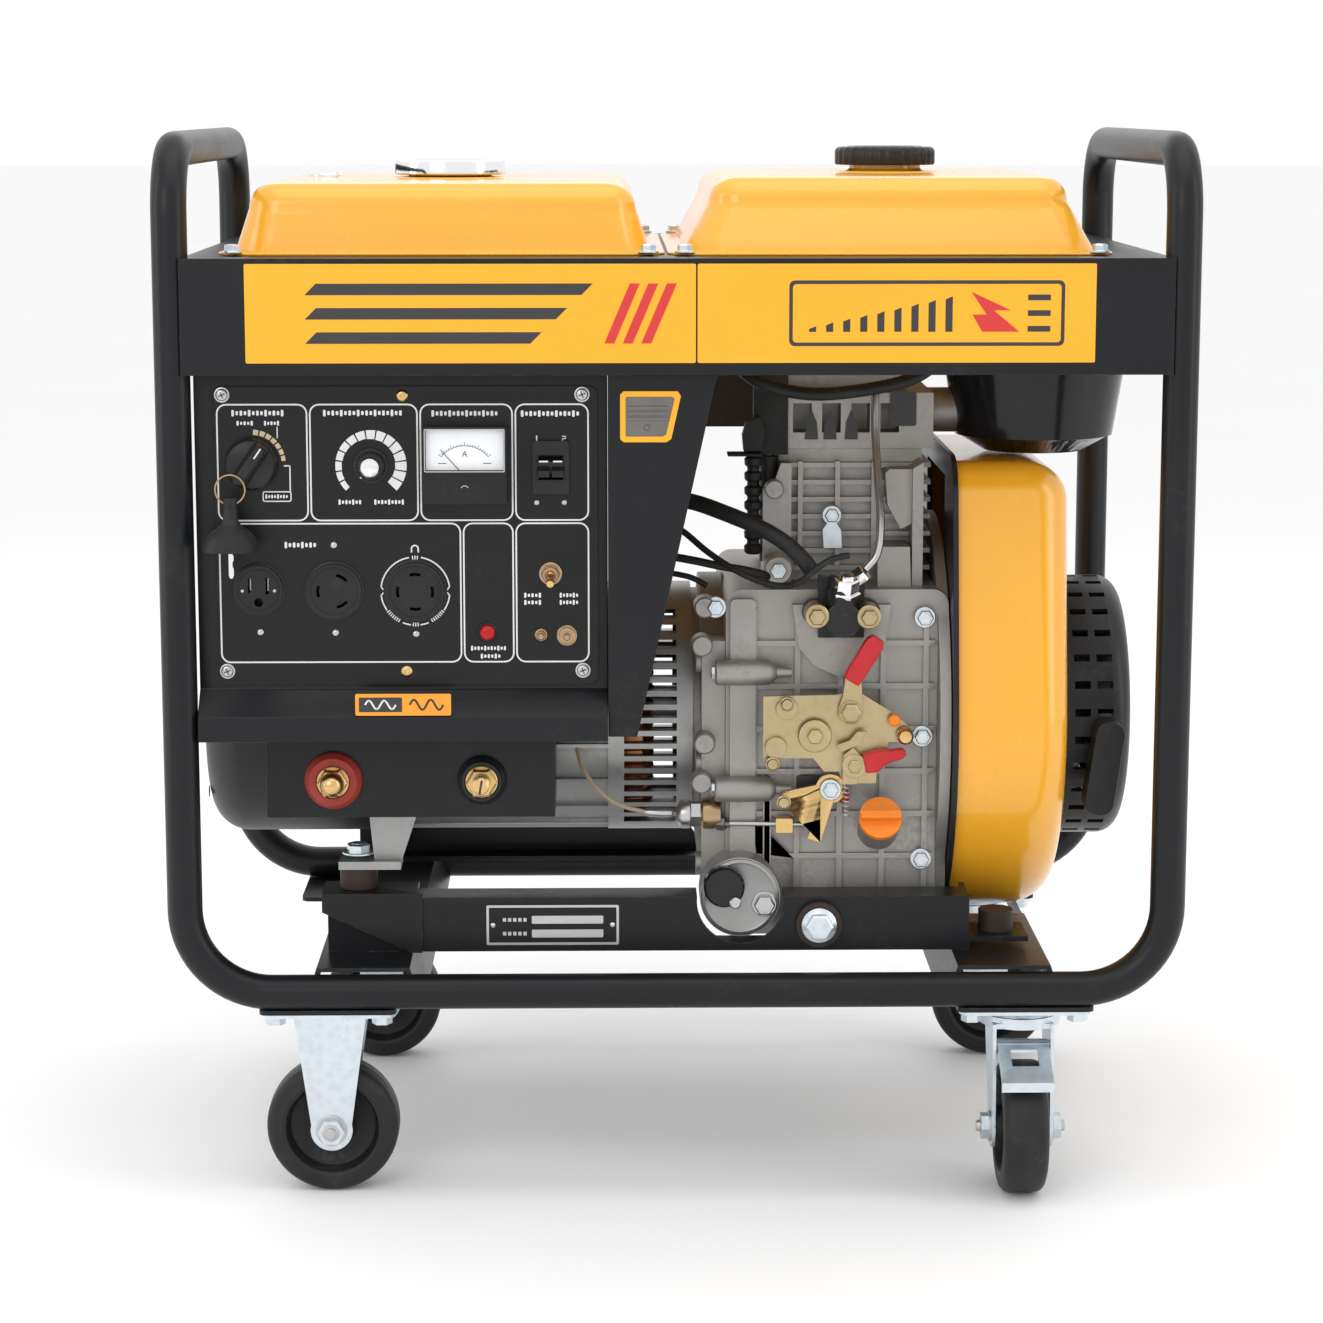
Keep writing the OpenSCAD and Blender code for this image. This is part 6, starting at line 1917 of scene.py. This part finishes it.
@dataclass
class Controls(Assembly):
    """Governor plate, the two red levers and the governor's linkage."""

    speed: tuple[float, float] = (129.0, 354.0)
    stop: tuple[float, float] = (132.0, 314.0)
    governor: tuple[float, float] = (115.4, 293.4)
    carried = {"governor_plate": (Finish.gold, 0.4), "governor_lever": (Finish.brass, 0.5)}

    def turn(self, pivot: Point, degrees: float, points: Sequence[Point]) -> list[Point]:
        """Turns an outline drawn straight up from a pivot.

        Args:
            pivot: The pivot.
            degrees: Degrees it is turned towards +X.
            points: The outline.

        Returns:
            The outline in place.
        """
        a = math.radians(degrees)
        return [(pivot[0] + u * math.cos(a) + v * math.sin(a), pivot[1] - u * math.sin(a) + v * math.cos(a))
                for u, v in points]

    def speed_lever(self) -> None:
        """Speed lever: plated arm, red sleeve and pivot bolt."""
        arm = Shape()
        arm.prism(self.turn(self.speed, 0,
                            [(-9, -4), (-9, 3), (-6, 12), (-4, 27), (6, 31), (8, 22), (9, 3), (9, -4),
                             (5, -9), (-5, -9)]), -156, -153)
        arm.turned((self.speed[0], -150, self.speed[1]), FRONT, [(0, 7), (7.5, 7)], 24)
        arm.make("speed_arm", "speed", "passivate_gold", Finish.gold, 0.4, ("speed_lever",))
        elbow = (self.speed[0] + 0.8, self.speed[1] + 25)
        sleeve = Shape()
        sleeve.prism(self.turn(elbow, 31.7,
                               [(-6.4, -2), (6.4, -2), (7, 6), (7, 31), (4.6, 36), (-4.6, 36), (-7, 31),
                                (-7, 6)]), -161.4, -150.6)
        sleeve.make("speed_sleeve", "speed", "lever_red", Finish.red, 1.6)
        bolt = Shape()
        bolt.turned((self.speed[0], -156, self.speed[1]), FRONT, [(0, 8.6), (1.6, 8.6), (2, 8.0)], 36)
        bolt.turned((self.speed[0], -158, self.speed[1]), FRONT, [(0, 7.6), (4.2, 7.6), (5.0, 6.4)], 6)
        bolt.make("speed_bolt", "speed", "passivate_gold", Finish.gold, 0.2)

    def stop_lever(self) -> None:
        """Stop lever: red sleeve with a finger end on a plated hub."""
        hub = Shape()
        hub.turned((self.stop[0], -150, self.stop[1]), FRONT, [(0, 7), (7, 9), (9.6, 9), (10, 8)], 36)
        hub.hexagon((self.stop[0], -159.8, self.stop[1]), FRONT, 5.4, 3.0)
        hub.make("stop_hub", "stop", "passivate_gold", Finish.gold, 0.2, ("stop_lever",))
        sleeve = Shape()
        sleeve.prism(self.turn(self.stop, 78,
                               [(-7, 7), (7, 7), (8, 16), (3, 24), (2, 36), (-1, 40), (-5, 38), (-6, 28),
                                (-8, 20)]), -161, -150.8)
        sleeve.make("stop_sleeve", "stop", "lever_red", Finish.red, 1.6)

    def plate_parts(self) -> None:
        """Dished pivot, screws, bracket, spring and small caps on the governor plate."""
        plate = Spot("governor_plate")
        face = plate.low.y
        gold = Shape()
        gold.turned((102.8, face, 336), FRONT, [(0, 12.5), (1.0, 11.8), (0.6, 8.6), (0.5, 6.4), (0.5, 0.4)],
                    48)
        gold.turned((102.8, face, 336), FRONT, [(0, 6.2), (4.0, 6.0), (4.6, 5.2), (4.6, 0.4)], 6)
        for x, z in ((82, 360), (71.6, 315), (80, 286)):
            gold.turned((x, face, z), FRONT, [(0, 5.6), (1.0, 5.4), (1.6, 4.2), (3.2, 3.8), (3.6, 0.4)], 28)
        gold.prism([(123, 300), (134, 300), (136, 322), (131, 328), (124, 322)], face - 3.4, face - 1.2)
        gold.prism([(121, 324), (135, 330), (141, 340), (134, 340), (128, 333), (119, 330)], face - 4.2,
                   face - 1.2)
        gold.make("governor_plate_parts", "frame", "passivate_gold", Finish.gold, 0.4)
        spring = Shape()
        turns, steps = 7, 14
        spring.rod([(127 + 2.8 * math.cos(2 * math.pi * k / steps),
                     -146 + 2.8 * math.sin(2 * math.pi * k / steps),
                     298 - 24.0 * k / (turns * steps)) for k in range(turns * steps + 1)], 0.55, 8)
        spring.make("governor_spring", "frame", "steel_parts", Finish.steel)
        Shape().dome((161.4, face - 0.1, 347.5), FRONT, 4.6, 3.2).make("orange_nub", "frame",
                                                                       "orange_plastic", Finish.orange)
        Shape().turned((169.5, face + 2, 336), FRONT, [(0, 6.4), (5, 6.2), (7.6, 4.4), (8.2, 0.4)], 36).make(
            "plate_cap", "frame", "brass_parts", Finish.brass)
        Shape().turned((126, -124, 285), FRONT, [(0, 5), (8, 4.6), (9, 3)], 28).make(
            "red_nub", "frame", "red_plastic", Finish.red)

    def linkage(self) -> None:
        """Thin rod with its brass joint, and the governor lever's screw."""
        rod = Shape()
        rod.rod([(40, -129, 264.6), (101, -133, 264.6)], 1.9, 16)
        rod.make("governor_rod", "frame", "steel_parts", Finish.steel)
        joint = Shape()
        joint.prism(rounded(75, 258.5, 88, 270, 1.2), -137, -126)
        joint.make("rod_joint", "frame", "brass_parts", Finish.brass, 0.5)
        lever = Spot("governor_lever")
        pin = Shape()
        pin.hexagon((self.governor[0], lever.low.y, self.governor[1]), FRONT, 6.0, 3.6, 8.0)
        pin.make("governor_lever_bolt", "governor", "zinc", Finish.zinc, 0.2)

    def build(self) -> None:
        """Builds the controls' pieces."""
        self.carry_all()
        self.speed_lever()
        self.stop_lever()
        self.plate_parts()
        self.linkage()


@dataclass
class FanEnd(Assembly):
    """Fan end: back plate, flywheel, amber housing, recoil starter and the air cleaner."""

    axis_z: float = 332.2
    low_x: float = 209.0
    high_x: float = 293.0
    opening_r: float = 87.0
    wall: float = 2.5
    shoulder: float = 34.0
    draw: float = 28.0
    steps: int = 12
    points: int = 192
    bolt_circle: float = 99.0
    carried = {"flywheel": (Finish.iron, 0.6), "back_plate": (Finish.plastic, 0.6),
               "recoil_cover": (Finish.plastic, 0.5), "recoil_pulley": (Finish.plastic, 0.3),
               "recoil_handle": (Finish.plastic, 1.8), "air_cleaner": (Finish.gloss, 1.4)}

    def housing(self) -> None:
        """Pressed fan housing with a soft shoulder and a round opening."""
        circles = [(0.0, self.axis_z, 156.0), (-98.0, 504.2, 30.0), (98.0, 504.2, 30.0)]
        rings: list[list[Vector]] = []

        def add(x: float, outline: Sequence[Point]) -> None:
            """Adds one ring across the axis."""
            rings.append([Vector((x, u, v)) * MM for u, v in outline])

        bend = self.high_x - self.shoulder
        quarter = [math.pi / 2 * k / self.steps for k in range(1, self.steps + 1)]
        for wall in (0.0, -self.wall):
            turn = [(self.low_x, 0.0), (self.low_x + 0.6, 0.0), (bend, 0.0)]
            turn += [(bend + (self.shoulder + wall) * math.sin(a), -self.draw * (1 - math.cos(a)))
                     for a in quarter]
            for x, grow in (turn if not wall else reversed(turn)):
                add(x, hull_ring(circles, grow + wall, self.points))
            if not wall:
                for x in (self.high_x, self.high_x - self.wall):
                    add(x, hull_ring([(0.0, self.axis_z, self.opening_r)], 0.0, self.points))
        Shape().skin(rings, True).make("fan_housing_pressed", "frame", "enamel_yellow", Finish.enamel, 0.0,
                                       ("fan_shroud",))

    def trims(self) -> None:
        """Clamp ring, starter bolts and the cleaner's wing nut and seam."""
        heads = Shape()
        for k in range(3):
            a = math.radians(30 + 120 * k)
            heads.hexagon((294.6, self.bolt_circle * math.cos(a) * 0.96,
                           self.axis_z + self.bolt_circle * math.sin(a) * 0.96), (1, 0, 0), 5.4, 3.8, 7.4)
        heads.make("starter_bolts", "frame", "zinc", Finish.zinc)
        seam = Spot("air_cleaner")
        ring = Shape()
        ring.turned((346.8, 0, self.axis_z), (1, 0, 0), [(0, 52), (1.6, 51), (1.6, 46), (0.3, 45)], 96)
        ring.turned((346.8, 0, self.axis_z), (1, 0, 0), [(0, 26), (2.2, 25), (3.0, 22), (3.0, 0.4)], 72)
        r = seam.size().x / 2
        ring.turned((seam.mid.x, seam.mid.y, seam.high.z - 12), UP,
                    [(0, r - 1.5), (0.8, r - 0.1), (3.2, r - 0.1), (4, r - 1.5)], 72)
        ring.make("cleaner_seam", "frame", "black_plastic", Finish.plastic)

    def build(self) -> None:
        """Builds the fan end's pieces."""
        self.carry_all()
        self.housing()
        self.trims()


# ---------------------------------------------------------------- studio

@dataclass
class Studio:
    """Pale floor, soft lights and the camera."""

    eye: tuple[float, float, float] = (-0.0503, -2.5854, 0.7996)
    tip: float = 9.515
    turn: float = -0.935
    lens: float = 91.16

    def floor(self) -> None:
        """A large pale disc."""
        mesh = bpy.data.meshes.new("floor")
        bm = bmesh.new()
        bmesh.ops.create_circle(bm, cap_ends=True, segments=96, radius=40.0)
        bm.to_mesh(mesh)
        bm.free()
        sheet = NodeSheet("pale_floor")
        drift = sheet.noise(900.0, 2.0)
        mesh.materials.append(sheet.close(None,
                                          base=sheet.tint((0.925, 0.925, 0.93), (0.95, 0.95, 0.95), drift),
                                          roughness=0.62 + drift * 0.1))
        disc = bpy.data.objects.new("floor", mesh)
        bpy.context.scene.collection.objects.link(disc)
        disc.location.z = -0.0003

    def light(self, name: str, at: Point, aim: Point, size: Point, power: float) -> None:
        """A rectangular soft light.

        Args:
            name: The light's name.
            at: Its place, in metres.
            aim: The point it faces, in metres.
            size: Its width and height, in metres.
            power: Its power, in watts.
        """
        lamp = bpy.data.lights.new(name, "AREA")
        lamp.shape, lamp.size, lamp.size_y, lamp.energy = "RECTANGLE", size[0], size[1], power
        holder = bpy.data.objects.new(name, lamp)
        holder.location = at
        holder.rotation_euler = (Vector(aim) - Vector(at)).to_track_quat("-Z", "Y").to_euler()
        bpy.context.scene.collection.objects.link(holder)

    def sky(self) -> None:
        """Even pale surroundings."""
        world = bpy.data.worlds.new("studio_white")
        world.use_nodes = True
        back = world.node_tree.nodes["Background"]
        back.inputs["Color"].default_value = (1.0, 1.0, 1.0, 1.0)
        back.inputs["Strength"].default_value = 1.0
        bpy.context.scene.world = world

    def camera(self) -> None:
        """The camera, at eye height in front of the operator's side."""
        lens = bpy.data.cameras.new("camera")
        lens.lens, lens.sensor_width = self.lens, 36.0
        lens.clip_start, lens.clip_end = 0.05, 100.0
        holder = bpy.data.objects.new("camera", lens)
        holder.location = self.eye
        holder.rotation_euler = (math.radians(90 - self.tip), 0.0, math.radians(self.turn))
        bpy.context.scene.collection.objects.link(holder)
        bpy.context.scene.camera = holder

    def build(self) -> None:
        """Builds the studio."""
        self.camera()
        self.floor()
        self.sky()
        self.light("top_box", (0.2, -0.5, 2.6), (0, 0, 0.3), (2.4, 2.0), 14.0)
        self.light("front_box", (-1.3, -2.6, 1.7), (0, 0, 0.4), (1.3, 1.3), 12.0)
        self.light("side_strip_left", (-2.2, -0.4, 1.0), (0, 0, 0.4), (0.6, 2.0), 7.0)
        self.light("side_strip_right", (2.2, -0.9, 1.1), (0, 0, 0.4), (0.6, 2.0), 8.0)
        self.light("back_box", (0.0, 2.6, 2.0), (0, 0, 0.4), (2.2, 1.2), 7.0)
        bpy.context.scene.view_settings.view_transform = "Standard"


def corners(box: tuple[Vector, Vector]) -> list[list[float]]:
    """A box as plain lists."""
    return [list(box[0]), list(box[1])]


def main() -> None:
    """Builds the studio and every sub-assembly."""
    logging.basicConfig(level=logging.INFO, format="%(message)s", stream=sys.stdout)
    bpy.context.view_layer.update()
    Studio().build()
    for assembly in (TubeFrame(), Casters(), FuelTank(), RIGHT_TANK, TankFittings(), ControlBox(),
                     WeldOutputs(), Generator(), Engine(), Controls(), FanEnd()):
        LOG.info("%s", type(assembly).__name__)
        assembly.build()


if __name__ == "__main__":
    main()
